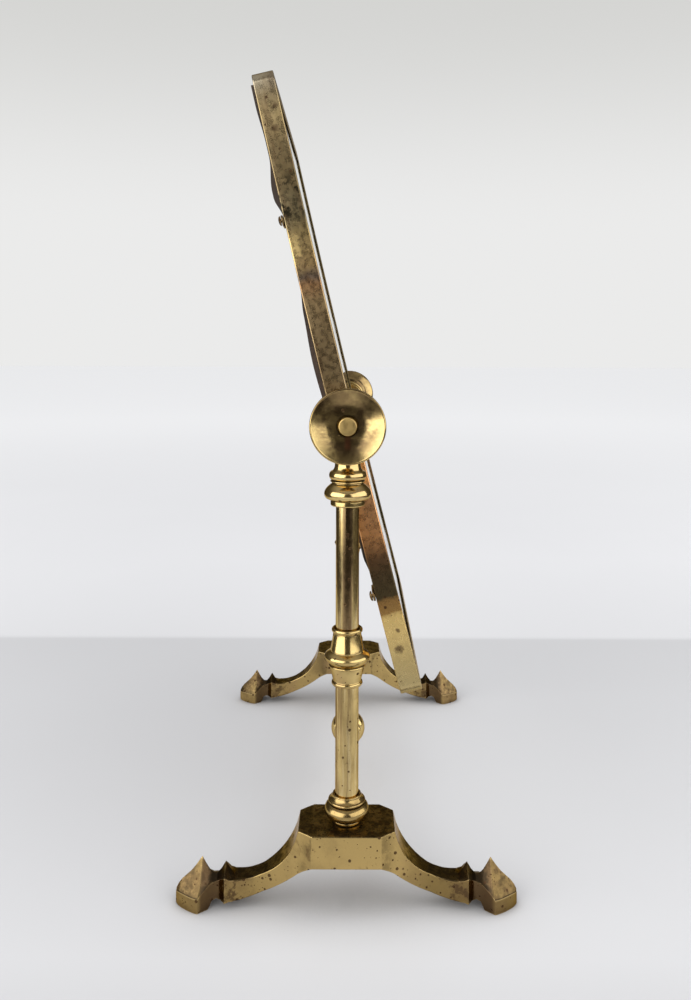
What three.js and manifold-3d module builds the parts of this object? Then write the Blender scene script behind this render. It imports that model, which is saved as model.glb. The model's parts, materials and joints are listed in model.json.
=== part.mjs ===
// Tabletop cheval picture frame in brass: a glazed frame that tilts between two turned columns
// on cast arched feet. Millimetres, +Z up. X runs along the pivot axis, the picture faces -Y,
// and the origin lies on the table midway between the two columns. "Left" is -X.

import * as THREE from 'three';
import { mergeVertices } from 'three/addons/utils/BufferGeometryUtils.js';
import Module from 'manifold-3d';

const wasm = await Module();
wasm.setup();

// ---------------------------------------------------------------- driving dimensions

const GAP = 0.3; // clearance between neighbouring pieces
const ROUND = 16; // facets round a turned piece

const COLUMN_X = 98; // column axis from the middle of the stand
const PIVOT_Z = 184.3; // pivot axis above the table
const LEAN = THREE.MathUtils.degToRad(13.5); // the top of the frame leans back by this angle

const BLOCK = { halfWidth: 12, halfFlat: 13, halfLength: 18, bottom: 19.4, top: 31.6 };
const LEG = { rootHalfWidth: 8, halfWidth: 4, thinFrom: 32, end: 43, archEnd: 46.3 };
const TOE_TIP = 65.5; // furthest reach of a toe from the column axis

const TIE_RADIUS = 2; // iron rod that draws a column together
const TIE_BORE = TIE_RADIUS + GAP;
const NUT = { radius: 4.6, height: 3.1, recessRadius: 5.2, recessDepth: 4 };

const TUBE = { radius: 4.5, wall: 1, socketDepth: 2.2 };
const SOCKET_RADIUS = TUBE.radius + GAP;
const BASE_COLLAR = { bottom: BLOCK.top + GAP, top: 42.4 };
const MIDDLE_COLLAR = { bottom: 84.2, top: 106 };
const HEAD = { bottom: 153, neck: 168.3, eyeRadius: 8.5, eyeHalfLength: 6, tieTop: 167 };

const STRETCHER = { z: 25.3, radius: 3.75, socketDepth: 6, knopHalf: 11, collarLength: 4 };

// The frame's outline about the pivot axis, and how far its faces lie from that axis.
const FRAME = { halfWidth: 81, above: 146.3, below: 114.3, front: -3.1, back: 5.9, corner: 5 };
const RIM = { wall: 3.8, lip: 6.8, lipThickness: 0.5 };
const GLASS_THICKNESS = 2;
const MOUNT_BOARD = { thickness: 1.7, border: 22 };
const PRINT_THICKNESS = 0.3;

const STUD = { radius: 3.5, tenonRadius: 1.4, end: 110.4 };
const KNOB = { radius: 14.4, hubRadius: 7.6, lipX: 110.6, dishX: 108.6 };

const BUTTON = { width: 4.4, reach: 8, thickness: 0.8, x: 78.9, heights: [85, -72] };
const BUTTON_SCREW = { radius: 0.75, depth: 5, headRadius: 2, headHeight: 1 };

// ---------------------------------------------------------------- materials

const metal = (color, roughness) =>
  new THREE.MeshStandardMaterial({ color, roughness, metalness: 1 });

const polishedBrass = () => metal(0xc9a45c, 0.22);
const castBrass = () => metal(0xb08a45, 0.38);
const tarnishedBrass = () => metal(0x8a6a3c, 0.42);
const iron = () => metal(0x4a4744, 0.6);
const plain = (color, roughness) => new THREE.MeshStandardMaterial({ color, roughness });

// ---------------------------------------------------------------- solids and meshes

// One closed solid from a three.js geometry, with shared vertices and no collapsed triangles.
function solidOf(geometry) {
  const bare = geometry.clone();
  bare.deleteAttribute('normal');
  bare.deleteAttribute('uv');
  const welded = mergeVertices(bare, 1e-4);
  const index = welded.index.array;
  const triangles = [];
  for (let i = 0; i < index.length; i += 3) {
    const [a, b, c] = [index[i], index[i + 1], index[i + 2]];
    if (a !== b && b !== c && c !== a) {
      triangles.push(a, b, c);
    }
  }
  const mesh = new wasm.Mesh({
    numProp: 3,
    vertProperties: new Float32Array(welded.attributes.position.array),
    triVerts: new Uint32Array(triangles),
  });
  return new wasm.Manifold(mesh);
}

function geometryOf(solid) {
  const { vertProperties, triVerts } = solid.getMesh();
  const geometry = new THREE.BufferGeometry();
  geometry.setAttribute('position', new THREE.BufferAttribute(vertProperties, 3));
  geometry.setIndex(new THREE.BufferAttribute(triVerts, 1));
  return geometry;
}

// The first geometry with every other one cut away from it.
function cut(body, ...tools) {
  return geometryOf(tools.reduce((left, tool) => left.subtract(solidOf(tool)), solidOf(body)));
}

function joined(first, second) {
  return geometryOf(solidOf(first).add(solidOf(second)));
}

function named(name, geometry, material) {
  const mesh = new THREE.Mesh(geometry, material);
  mesh.name = name;
  return mesh;
}

// ---------------------------------------------------------------- shared shapes

const point = (x, y) => new THREE.Vector2(x, y);

// Points of an arc in a profile, from one angle to another in degrees.
function arc(centreX, centreY, radius, from, to, steps) {
  const points = [];
  for (let i = 0; i <= steps; i += 1) {
    const angle = THREE.MathUtils.degToRad(from + ((to - from) * i) / steps);
    points.push(point(centreX + radius * Math.cos(angle), centreY + radius * Math.sin(angle)));
  }
  return points;
}

// A bead that bulges from one radius to its widest and back, between two heights.
function bead(neckRadius, widest, bottom, top, steps) {
  const points = [];
  for (let i = 0; i <= steps; i += 1) {
    const swell = Math.sin((Math.PI * i) / steps);
    const radius = THREE.MathUtils.lerp(neckRadius, widest, swell);
    points.push(point(radius, THREE.MathUtils.lerp(bottom, top, i / steps)));
  }
  return points;
}

// A profile of [radius, height] turned about Z. It runs anticlockwise, up its outer side.
function turned(profile, facets = ROUND) {
  return new THREE.LatheGeometry(profile, facets).rotateX(Math.PI / 2);
}

// The same, turned about X, with the profile's heights measured along +X.
function turnedAboutX(profile, facets = ROUND) {
  return turned(profile, facets).rotateY(Math.PI / 2);
}

// The same, turned about Y, with the profile's heights measured along +Y.
function turnedAboutY(profile, facets) {
  return turned(profile, facets).rotateX(-Math.PI / 2);
}

function ringProfile(inner, outer, bottom, top) {
  return [
    point(inner, bottom),
    point(outer, bottom),
    point(outer, top),
    point(inner, top),
    point(inner, bottom),
  ];
}

function rodProfile(radius, bottom, top) {
  return [point(0, bottom), point(radius, bottom), point(radius, top), point(0, top)];
}

// ---------------------------------------------------------------- cast foot

function legTop(y) {
  const bend = { y: 43, z: 36, radius: 25.2 };
  return bend.z - Math.sqrt(bend.radius ** 2 - (y - bend.y) ** 2);
}

function legUnderside(y) {
  const low = 2.6;
  const rise = 14.5;
  const reach = 30.1;
  return Math.min(BLOCK.bottom, low + rise * ((LEG.archEnd - y) / reach) ** 1.82);
}

function legHalfWidth(y) {
  const taper = (y - BLOCK.halfLength) / (LEG.thinFrom - BLOCK.halfLength);
  return THREE.MathUtils.lerp(LEG.rootHalfWidth, LEG.halfWidth, THREE.MathUtils.clamp(taper, 0, 1));
}

// Five-sided sections of half a foot, from its middle out to the toe: distance from the column
// axis, half width, underside, shoulder where the sides end, and crest on the centre line.
function footSections() {
  const archStart = 13.7;
  const legStart = 18.2;
  const sections = [
    [BLOCK.halfFlat, BLOCK.halfWidth, BLOCK.bottom, BLOCK.top, BLOCK.top],
    [archStart, 11.4, BLOCK.bottom, BLOCK.top, BLOCK.top],
    [16, 9.6, legUnderside(16), BLOCK.top, BLOCK.top],
  ];
  const steps = 9;
  for (let i = 0; i <= steps; i += 1) {
    const y = THREE.MathUtils.lerp(legStart, LEG.end, i / steps);
    sections.push([y, legHalfWidth(y), legUnderside(y), legTop(y), legTop(y)]);
  }
  const ridge = [
    [44.8, 4.95, 2.8, 11, 13.2],
    [46.4, 5.6, 2.5, 12, 15.9],
    [48, 4, 3.1, 10.8, 13.2],
    [49.6, 3.5, 3.4, 10, 11.3],
  ];
  const toe = [
    [51.2, 3.9, 2.8, 9.7, 11.4],
    [52.6, 5, 0, 8.7, 12.8],
    [54.1, 6.2, 0, 7.4, 15.2],
    [55.5, 7.3, 0, 6.2, 17.8],
    [56.2, 7.9, 0, 5.6, 16.7],
    [57.7, 7.3, 0, 5.6, 14.6],
    [59.5, 6.3, 0, 5.6, 12.4],
    [61.4, 5, 0, 5.6, 10.7],
    [63.2, 3.6, 0, 5.5, 9.1],
    [64.6, 2.3, 0.2, 5.3, 7.4],
    [TOE_TIP, 1.1, 0.5, 5, 5.6],
  ];
  return [...sections, ...ridge, ...toe];
}

// A closed skin over five-sided sections that follow one another along Y.
function skinOver(sections) {
  const sides = 5;
  const positions = [];
  for (const [y, half, underside, shoulder, crest] of sections) {
    positions.push(-half, y, underside, half, y, underside);
    positions.push(half, y, shoulder, 0, y, crest, -half, y, shoulder);
  }
  const index = [];
  for (let i = 0; i + 1 < sections.length; i += 1) {
    for (let k = 0; k < sides; k += 1) {
      const a = i * sides + k;
      const b = i * sides + ((k + 1) % sides);
      index.push(a, a + sides, b, b, a + sides, b + sides);
    }
  }
  const last = (sections.length - 1) * sides;
  for (let k = 1; k + 1 < sides; k += 1) {
    index.push(0, k, k + 1, last, last + k + 1, last + k);
  }
  const geometry = new THREE.BufferGeometry();
  geometry.setAttribute('position', new THREE.Float32BufferAttribute(positions, 3));
  geometry.setIndex(index);
  return geometry;
}

// The right foot about its column axis: a block, two legs, the tie rod's bore with a recess for
// its nut, and the socket of the stretcher in the inner face.
function footCasting() {
  const half = footSections();
  const mirrored = half.map(([y, ...rest]) => [-y, ...rest]).reverse();
  const bore = turned(rodProfile(TIE_BORE, BLOCK.bottom - 1, BLOCK.top + 1));
  const recessTop = BLOCK.bottom + NUT.recessDepth;
  const recess = turned(rodProfile(NUT.recessRadius, BLOCK.bottom - 1, recessTop));
  const socketEnd = STRETCHER.socketDepth - BLOCK.halfWidth;
  const socket = turnedAboutX(rodProfile(STRETCHER.radius + GAP, -BLOCK.halfWidth - 1, socketEnd));
  socket.translate(0, 0, STRETCHER.z);
  return cut(skinOver([...mirrored, ...half]), bore, recess, socket);
}

// ---------------------------------------------------------------- column

function baseCollar() {
  const { bottom, top } = BASE_COLLAR;
  const seat = top - TUBE.socketDepth;
  return turned([
    point(TIE_BORE, bottom),
    point(5.5, bottom),
    point(5.5, bottom + 0.8),
    point(4.9, bottom + 1.2),
    ...bead(6.4, 8.5, 33.6, 39.2, 6),
    point(7, 39.3),
    point(7, 40.3),
    point(5.6, top),
    point(SOCKET_RADIUS, top),
    point(SOCKET_RADIUS, seat),
    point(TIE_BORE, seat),
    point(TIE_BORE, bottom),
  ]);
}

function middleCollar() {
  const { bottom, top } = MIDDLE_COLLAR;
  const depth = TUBE.socketDepth;
  return turned([
    point(SOCKET_RADIUS, bottom),
    point(6, bottom),
    point(6, 85.8),
    point(5.6, 86.3),
    point(5.9, 87.6),
    point(6.8, 91.2),
    point(6.5, 92.3),
    ...bead(7.9, 8.8, 92.9, 97.4, 4),
    point(6.7, 97.6),
    point(6.3, 100.4),
    point(5.5, 103.7),
    point(6, 104.6),
    point(6, top),
    point(SOCKET_RADIUS, top),
    point(SOCKET_RADIUS, top - depth),
    point(TIE_BORE, top - depth),
    point(TIE_BORE, bottom + depth),
    point(SOCKET_RADIUS, bottom + depth),
    point(SOCKET_RADIUS, bottom),
  ]);
}

function tube(bottom, top) {
  return turned(ringProfile(TUBE.radius - TUBE.wall, TUBE.radius, bottom + GAP, top - GAP));
}

// Turned head of a column: a stepped dome on the tube, a neck, and the eye for the pivot stud.
function columnHead() {
  const { bottom, neck, eyeRadius, eyeHalfLength, tieTop } = HEAD;
  const seat = bottom + TUBE.socketDepth;
  const stem = turned([
    point(0, tieTop),
    point(TIE_BORE, tieTop),
    point(TIE_BORE, seat),
    point(SOCKET_RADIUS, seat),
    point(SOCKET_RADIUS, bottom),
    point(6.6, bottom),
    point(6.6, 155.3),
    ...arc(5.6, 158.3, 3.5, -55, 35, 3),
    point(7, 161.4),
    point(5.6, 162.4),
    ...bead(5.6, 7.2, 163, 167, 4),
    point(4.9, neck - 0.7),
    point(4.6, neck + 3),
    point(5.4, PIVOT_Z - eyeRadius + 1.5),
    point(0, PIVOT_Z - eyeRadius + 3),
  ]);
  const eye = turnedAboutX([
    point(0, -eyeHalfLength),
    point(eyeRadius - 1.2, -eyeHalfLength),
    point(eyeRadius, -eyeHalfLength + 1.2),
    point(eyeRadius, eyeHalfLength - 1.2),
    point(eyeRadius - 1.2, eyeHalfLength),
    point(0, eyeHalfLength),
  ]);
  eye.translate(0, 0, PIVOT_Z);
  const bore = turnedAboutX(rodProfile(STUD.radius + GAP, -eyeHalfLength - 1, eyeHalfLength + 1));
  bore.translate(0, 0, PIVOT_Z);
  return cut(joined(stem, eye), bore);
}

function tieNut() {
  const top = BLOCK.bottom + NUT.recessDepth - GAP;
  return turned(ringProfile(TIE_BORE, NUT.radius, top - NUT.height, top), 6);
}

// Everything that stands on one foot, with the column axis at x = 0 and the stretcher at -X.
function standSide(side) {
  const pieces = new THREE.Group();
  const depth = TUBE.socketDepth;
  pieces.add(named(`foot_casting_${side}`, footCasting(), castBrass()));
  pieces.add(named(`base_collar_${side}`, baseCollar(), polishedBrass()));
  const lowerTube = tube(BASE_COLLAR.top - depth, MIDDLE_COLLAR.bottom + depth);
  pieces.add(named(`lower_tube_${side}`, lowerTube, polishedBrass()));
  pieces.add(named(`middle_collar_${side}`, middleCollar(), polishedBrass()));
  const upperTube = tube(MIDDLE_COLLAR.top - depth, HEAD.bottom + depth);
  pieces.add(named(`upper_tube_${side}`, upperTube, polishedBrass()));
  pieces.add(named(`column_head_${side}`, columnHead(), polishedBrass()));
  const tieRod = turned(rodProfile(TIE_RADIUS, BLOCK.bottom + 0.5, HEAD.tieTop - GAP), 12);
  pieces.add(named(`tie_rod_${side}`, tieRod, iron()));
  pieces.add(named(`tie_nut_${side}`, tieNut(), iron()));
  return pieces;
}

// ---------------------------------------------------------------- stretcher

function stretcherPieces() {
  const pieces = new THREE.Group();
  pieces.position.z = STRETCHER.z;
  const bore = STRETCHER.radius + GAP;
  const reach = COLUMN_X - BLOCK.halfWidth;
  const end = reach + STRETCHER.socketDepth - GAP;
  const rod = turnedAboutX(rodProfile(STRETCHER.radius, -end, end));
  pieces.add(named('stretcher_rod', rod, polishedBrass()));

  const { knopHalf, collarLength } = STRETCHER;
  const knop = turnedAboutX([
    point(bore, -knopHalf),
    point(5.2, -knopHalf),
    point(5.6, -knopHalf + 1.6),
    ...bead(5, 6.6, -8.6, -5.4, 2),
    ...bead(5.6, 8.2, -4.6, 4.6, 6),
    ...bead(5, 6.6, 5.4, 8.6, 2),
    point(5.6, knopHalf - 1.6),
    point(5.2, knopHalf),
    point(bore, knopHalf),
    point(bore, -knopHalf),
  ]);
  pieces.add(named('stretcher_knop', knop, polishedBrass()));

  for (const [side, sign] of [['left', -1], ['right', 1]]) {
    const collar = turnedAboutX([
      point(bore, -collarLength / 2),
      point(5.2, -collarLength / 2),
      ...bead(5.4, 6.6, -1.4, 1.4, 2),
      point(5.2, collarLength / 2),
      point(bore, collarLength / 2),
      point(bore, -collarLength / 2),
    ]);
    const mesh = named(`stretcher_collar_${side}`, collar, polishedBrass());
    mesh.position.x = sign * (reach - GAP - collarLength / 2);
    pieces.add(mesh);
  }
  return pieces;
}

// ---------------------------------------------------------------- tilting frame

const frameCentre = (FRAME.above - FRAME.below) / 2;
const frameHalfHeight = (FRAME.above + FRAME.below) / 2;
const backFace = FRAME.back;
const frontFace = FRAME.front;

// A rectangle inset from the frame's outline, with round corners.
function insetOutline(inset, corner) {
  const x = FRAME.halfWidth - inset;
  const z = frameHalfHeight - inset;
  const outline = new THREE.Shape();
  outline.absarc(x - corner, z - corner, corner, 0, Math.PI / 2);
  outline.absarc(corner - x, z - corner, corner, Math.PI / 2, Math.PI);
  outline.absarc(corner - x, corner - z, corner, Math.PI, 1.5 * Math.PI);
  outline.absarc(x - corner, corner - z, corner, 1.5 * Math.PI, 2 * Math.PI);
  return outline;
}

// An upright slab from an outline, between two depths of the frame.
function slab(outline, front, back, curveSegments = 4) {
  const settings = { depth: back - front, bevelEnabled: false, curveSegments };
  const geometry = new THREE.ExtrudeGeometry(outline, settings);
  return geometry.rotateX(Math.PI / 2).translate(0, back, frameCentre);
}

const buttonPlaces = BUTTON.heights.flatMap((height) => [
  { x: -BUTTON.x, height },
  { x: BUTTON.x, height },
]);

function frameRim() {
  const over = 1;
  const body = slab(insetOutline(0, FRAME.corner), frontFace, backFace);
  const window = slab(insetOutline(RIM.lip, 1.2), frontFace - over, backFace + over);
  const rebate = slab(insetOutline(RIM.wall, 0.5), frontFace + RIM.lipThickness, backFace + over);
  const reach = FRAME.halfWidth + over;
  const tenonHole = turnedAboutX(rodProfile(STUD.tenonRadius + GAP, -reach, reach), 12);
  const screwHoles = buttonPlaces.map(({ x, height }) => {
    const bottom = backFace - BUTTON_SCREW.depth - GAP;
    const hole = rodProfile(BUTTON_SCREW.radius + GAP, bottom, backFace + over);
    return turnedAboutY(hole, 8).translate(x, 0, height);
  });
  return cut(body, window, rebate, tenonHole, ...screwHoles);
}

function smoothStep(from, to, value) {
  return THREE.MathUtils.smoothstep(value, from, to);
}

// How far the warped backing board stands out behind the frame at a height above the pivot.
function boardSwell(height) {
  const topCurl = 0.8 * smoothStep(118, 134, height);
  const topThird = 0.4 * smoothStep(88, 92, height);
  const blister = 2 * smoothStep(87.5, 95, height) * (1 - smoothStep(98, 112, height));
  const middle = 1.2 * smoothStep(-64, -56, height) * (1 - smoothStep(46, 58, height));
  const belly = 1.1 * smoothStep(-5, 25, height) * (1 - smoothStep(25, 50, height));
  return topCurl + topThird + blister + middle + belly;
}

// The board: flat in front, with the swell behind, the same all the way across.
function backingBoard(front) {
  const top = FRAME.above - RIM.wall - GAP;
  const bottom = -(FRAME.below - RIM.wall - GAP);
  const halfWidth = FRAME.halfWidth - RIM.wall - GAP;
  const section = new THREE.Shape();
  section.moveTo(front, bottom);
  const bends = [-64, -60, -56, -5, 5, 15, 25, 32, 40, 46, 50, 54, 58];
  const upperBends = [87.5, 90, 92.5, 95, 98, 102, 106, 110, 118, 124, 130];
  for (const height of [bottom, ...bends, ...upperBends, top]) {
    section.lineTo(backFace + boardSwell(height), height);
  }
  section.lineTo(front, top);
  section.closePath();
  const settings = { depth: 2 * halfWidth, bevelEnabled: false };
  const geometry = new THREE.ExtrudeGeometry(section, settings);
  // Extruded along Z with depth in X and height in Y, then stood upright across the frame.
  const upright = new THREE.Matrix4().set(0, 0, 1, -halfWidth, 1, 0, 0, 0, 0, 1, 0, 0, 0, 0, 0, 1);
  return geometry.applyMatrix4(upright);
}

// A box that fills the rebate between two depths.
function rebateFill(front, back) {
  const width = 2 * (FRAME.halfWidth - RIM.wall - GAP);
  const height = 2 * (frameHalfHeight - RIM.wall - GAP);
  const box = new THREE.BoxGeometry(width, back - front, height);
  return box.translate(0, (front + back) / 2, frameCentre);
}

// Card mount with a window for the print.
function cardMount(front, back) {
  const { border } = MOUNT_BOARD;
  const window = new THREE.BoxGeometry(
    2 * (FRAME.halfWidth - border),
    back - front + 2,
    2 * (frameHalfHeight - border),
  );
  return cut(rebateFill(front, back), window.translate(0, (front + back) / 2, frameCentre));
}

// Oblong button about its screw, which points inwards over the board from the right-hand side.
function turnButton() {
  const radius = BUTTON.width / 2;
  const outline = new THREE.Shape();
  outline.absarc(0, 0, radius, -Math.PI / 2, Math.PI / 2);
  outline.absarc(-BUTTON.reach, 0, radius, Math.PI / 2, 1.5 * Math.PI);
  const eye = new THREE.Path();
  eye.absarc(0, 0, BUTTON_SCREW.radius + GAP, 0, 2 * Math.PI, true);
  outline.holes.push(eye);
  const settings = { depth: BUTTON.thickness, bevelEnabled: false, curveSegments: 8 };
  const geometry = new THREE.ExtrudeGeometry(outline, settings).rotateX(Math.PI / 2);
  return geometry.translate(0, backFace + GAP + BUTTON.thickness, 0);
}

function buttonScrew() {
  const { radius, depth, headRadius, headHeight } = BUTTON_SCREW;
  const seat = backFace + BUTTON.thickness + 2 * GAP;
  const profile = [
    point(0, backFace - depth),
    point(radius, backFace - depth),
    point(radius, seat),
    point(headRadius, seat),
    point(headRadius, seat + 0.3 * headHeight),
    point(0.6 * headRadius, seat + headHeight),
    point(0, seat + headHeight),
  ];
  return turnedAboutY(profile, 12);
}

// Spacer boss between the frame's side and the eye of the column, about X.
function pivotBoss() {
  const bore = STUD.radius + GAP;
  const start = FRAME.halfWidth + GAP;
  const end = COLUMN_X - HEAD.eyeHalfLength - GAP;
  return turnedAboutX([
    point(bore, start),
    point(7.4, start),
    point(7.4, start + 1.6),
    point(5.8, start + 2.6),
    point(5.8, end - 2.4),
    point(6.8, end - 1.6),
    point(6.8, end),
    point(bore, end),
    point(bore, start),
  ]);
}

// Pivot stud: its tenon passes through the frame's side, its free end shows in the knob.
function pivotStud() {
  const shoulder = FRAME.halfWidth + GAP;
  const { radius, tenonRadius, end } = STUD;
  return turnedAboutX([
    point(0, FRAME.halfWidth - RIM.wall),
    point(tenonRadius, FRAME.halfWidth - RIM.wall),
    point(tenonRadius, shoulder),
    point(radius, shoulder),
    point(radius, end - 0.5),
    point(radius - 0.5, end),
    point(0, end),
  ]);
}

// Dished clamp knob on the outer side of the column's eye, about X.
function clampKnob() {
  const { radius, hubRadius, lipX, dishX } = KNOB;
  const bore = STUD.radius + GAP;
  const start = COLUMN_X + HEAD.eyeHalfLength + GAP;
  return turnedAboutX([
    point(bore, start),
    point(hubRadius, start),
    point(hubRadius, start + 1.1),
    point(9.6, start + 1.5),
    point(9.9, start + 2.5),
    point(12.4, start + 3.5),
    point(radius, lipX - 1.3),
    point(radius, lipX - 0.4),
    point(radius - 0.5, lipX),
    point(12.8, lipX - 0.4),
    point(10, lipX - 1.7),
    point(7, lipX - 2.6),
    point(bore, dishX),
    point(bore, start),
  ], 24);
}

function tiltingFrame() {
  const pieces = new THREE.Group();
  pieces.position.z = PIVOT_Z;
  pieces.rotation.x = -LEAN;
  pieces.add(named('frame_rim', frameRim(), tarnishedBrass()));

  const glassFront = frontFace + RIM.lipThickness + GAP;
  const mountFront = glassFront + GLASS_THICKNESS + GAP;
  const printFront = mountFront + MOUNT_BOARD.thickness + GAP;
  const boardFront = printFront + PRINT_THICKNESS + GAP;
  const glass = rebateFill(glassFront, glassFront + GLASS_THICKNESS);
  pieces.add(named('glass_pane', glass, plain(0xe8f0ee, 0.05)));
  const mount = cardMount(mountFront, mountFront + MOUNT_BOARD.thickness);
  pieces.add(named('card_mount', mount, plain(0xe6dcc4, 0.9)));
  const print = rebateFill(printFront, printFront + PRINT_THICKNESS);
  pieces.add(named('picture_print', print, plain(0xa08a6a, 0.7)));
  pieces.add(named('backing_board', backingBoard(boardFront), plain(0x2b201a, 0.8)));

  buttonPlaces.forEach(({ x, height }, i) => {
    const button = named(`turn_button_${i + 1}`, turnButton(), tarnishedBrass());
    button.position.set(x, 0, height);
    button.rotation.y = x < 0 ? Math.PI : 0;
    const screw = named(`button_screw_${i + 1}`, buttonScrew(), tarnishedBrass());
    screw.position.set(x, 0, height);
    pieces.add(button, screw);
  });

  for (const [side, turn] of [['left', Math.PI], ['right', 0]]) {
    const pivot = new THREE.Group();
    pivot.rotation.y = turn;
    pivot.add(named(`pivot_boss_${side}`, pivotBoss(), polishedBrass()));
    pivot.add(named(`pivot_stud_${side}`, pivotStud(), polishedBrass()));
    pieces.add(pivot);
  }
  return pieces;
}

// ---------------------------------------------------------------- whole object

const stand = new THREE.Group();
for (const [side, sign, turn] of [['left', -1, Math.PI], ['right', 1, 0]]) {
  const column = standSide(side);
  column.position.x = sign * COLUMN_X;
  column.rotation.z = turn;
  const knob = named(`clamp_knob_${side}`, clampKnob(), polishedBrass());
  knob.position.z = PIVOT_Z;
  knob.rotation.z = turn;
  stand.add(column, knob);
}
stand.add(stretcherPieces(), tiltingFrame());

export default stand;
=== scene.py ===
"""A tabletop cheval picture frame in aged brass, rebuilt finely around its CAD frame.

A glazed frame tilts between two turned columns on cast arched feet. Every piece is modelled in
millimetres and scaled to metres. X runs along the pivot axis, the picture faces -Y, and Z is up.
Pieces of the tilting frame are modelled upright about the pivot and then leaned back as a whole.
"""

import json
import math

import bmesh
import bpy
from mathutils import Matrix, Vector, noise


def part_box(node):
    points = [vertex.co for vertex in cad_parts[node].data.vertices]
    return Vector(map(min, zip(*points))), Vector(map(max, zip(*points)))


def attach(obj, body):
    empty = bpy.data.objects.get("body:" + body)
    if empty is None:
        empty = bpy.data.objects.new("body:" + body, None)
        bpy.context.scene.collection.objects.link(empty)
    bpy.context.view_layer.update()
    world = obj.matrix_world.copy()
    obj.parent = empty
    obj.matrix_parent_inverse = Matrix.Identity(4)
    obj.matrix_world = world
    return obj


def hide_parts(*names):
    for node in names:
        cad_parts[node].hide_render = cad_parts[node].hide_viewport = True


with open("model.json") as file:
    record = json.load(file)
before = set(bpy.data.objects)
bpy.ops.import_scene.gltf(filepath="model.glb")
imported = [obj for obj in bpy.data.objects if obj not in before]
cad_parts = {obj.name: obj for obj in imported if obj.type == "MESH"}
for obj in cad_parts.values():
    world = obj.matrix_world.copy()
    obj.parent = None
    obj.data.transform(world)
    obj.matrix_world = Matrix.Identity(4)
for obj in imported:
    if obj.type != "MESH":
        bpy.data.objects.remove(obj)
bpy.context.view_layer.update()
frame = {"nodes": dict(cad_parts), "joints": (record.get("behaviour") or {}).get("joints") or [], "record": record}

MM = 0.001
GAP = 0.3  # millimetres between neighbouring pieces
SHARP_ANGLE = math.radians(38)  # edges that turn by more than this are drawn sharp
SIDES = {"left": -1, "right": 1}

JOINTS = {joint["name"]: joint for joint in frame["joints"]}
BODY_OF = {
    node: body
    for body, nodes in frame["record"]["behaviour"]["bodies"].items()
    for node in nodes
}
PIVOT = Vector(JOINTS["frame_tilt"]["pos_m"])
BACKWARD = Vector(JOINTS["turn_button_1_turn"]["axis"])  # square out of the frame's back
LEAN = math.atan2(-BACKWARD.z, BACKWARD.y)
UPRIGHT = Matrix.Identity(4)
LEANING = Matrix.Translation(PIVOT) @ Matrix.Rotation(-LEAN, 4, "X")


# ---------------------------------------------------------------- camera, lights, floor

LIGHTS_AIM = Vector((0, 0, 0.16))
LIGHTS_DISTANCE = 1.0
DIM_ROOM, ROOM_CEILING = (0.075, 0.068, 0.058, 1), (0.45, 0.44, 0.42, 1)
MIRRORED_WALL, DAYLIGHT = (0.82, 0.82, 0.80, 1), (0.83, 0.835, 0.85, 1)
BACKDROP_FOOT, BACKDROP_TOP = (0.83, 0.83, 0.825, 1), (0.66, 0.66, 0.645, 1)


def add_camera():
    """The photograph's camera: level, looking along the pivot axis, a little above the knob."""
    data = bpy.data.cameras.new("camera")
    data.sensor_width, data.lens = 36, 31.95
    data.shift_x, data.shift_y = -0.0072, -0.1554
    data.clip_start = 0.01
    camera = in_scene(data)
    place = Matrix.Translation((-0.4402, -0.00176, 0.2149))
    along_x = Matrix(((0, 0, -1), (-1, 0, 0), (0, 1, 0))).to_4x4()
    roll = Matrix.Rotation(math.radians(0.183), 4, "Z")
    camera.matrix_world = place @ along_x @ roll
    bpy.context.scene.camera = camera


def add_softbox(name, azimuth, width, height, middle, power):
    """A soft window of light. Azimuth 0 is behind the camera and 90 is on its right."""
    data = bpy.data.lights.new(name, "AREA")
    data.shape = "RECTANGLE"
    data.size, data.size_y = width, height
    data.energy = power
    light = in_scene(data)
    angle = math.radians(azimuth)
    out = -LIGHTS_DISTANCE
    light.location = (out * math.cos(angle), out * math.sin(angle), middle)
    towards = LIGHTS_AIM - light.location
    light.rotation_euler = towards.to_track_quat("-Z", "Y").to_euler()
    light.visible_camera = False


def add_world():
    """Pale all round, a dim room for the metal to mirror, a white wall beyond +X, and painted shade up the
    camera's backdrop.
    """
    world = bpy.data.worlds.new("studio")
    bpy.context.scene.world = world
    world.use_nodes = True
    tree = world.node_tree
    tree.nodes.clear()
    output = tree.nodes.new("ShaderNodeOutputWorld")
    along, _, up = parts_of(tree, add(tree, "ShaderNodeTexCoord").outputs["Generated"])
    room = mix(tree, map_range(tree, up, 0.45, 0.95), DIM_ROOM, ROOM_CEILING)
    mirrored = mix(tree, map_range(tree, along, 0.93, 0.985), room, MIRRORED_WALL)
    # Painted shade: the backdrop that the camera sees grows darker from its foot to the top.
    backdrop = mix(tree, map_range(tree, up, 0.12, 0.38), BACKDROP_FOOT, BACKDROP_TOP)
    rays = add(tree, "ShaderNodeLightPath").outputs
    colour = mix(tree, rays["Is Camera Ray"], DAYLIGHT, backdrop)
    colour = mix(tree, rays["Is Glossy Ray"], colour, mirrored)
    light = add(tree, "ShaderNodeBackground", Color=colour, Strength=1.0)
    tree.links.new(light.outputs[0], output.inputs[0])


def add_floor(name, x_from, x_to, reach, height, surface, mirrored):
    """A stretch of the pale table top. Only a mirrored one shows in the metal."""
    bm = bmesh.new()
    corners = [(x_from, -reach), (x_to, -reach), (x_to, reach), (x_from, reach)]
    bm.faces.new([bm.verts.new((x, y, height)) for x, y in corners])
    floor = object_from(bm, name)
    floor.data.materials.append(surface)
    floor.visible_glossy = mirrored


def in_scene(data):
    """An object in the scene for a camera, a light or a mesh."""
    item = bpy.data.objects.new(data.name, data)
    bpy.context.scene.collection.objects.link(item)
    return item


def object_from(bm, name):
    """The same for a mesh that is still being edited, which this uses up."""
    mesh = bpy.data.meshes.new(name)
    bm.to_mesh(mesh)
    bm.free()
    return in_scene(mesh)


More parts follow.
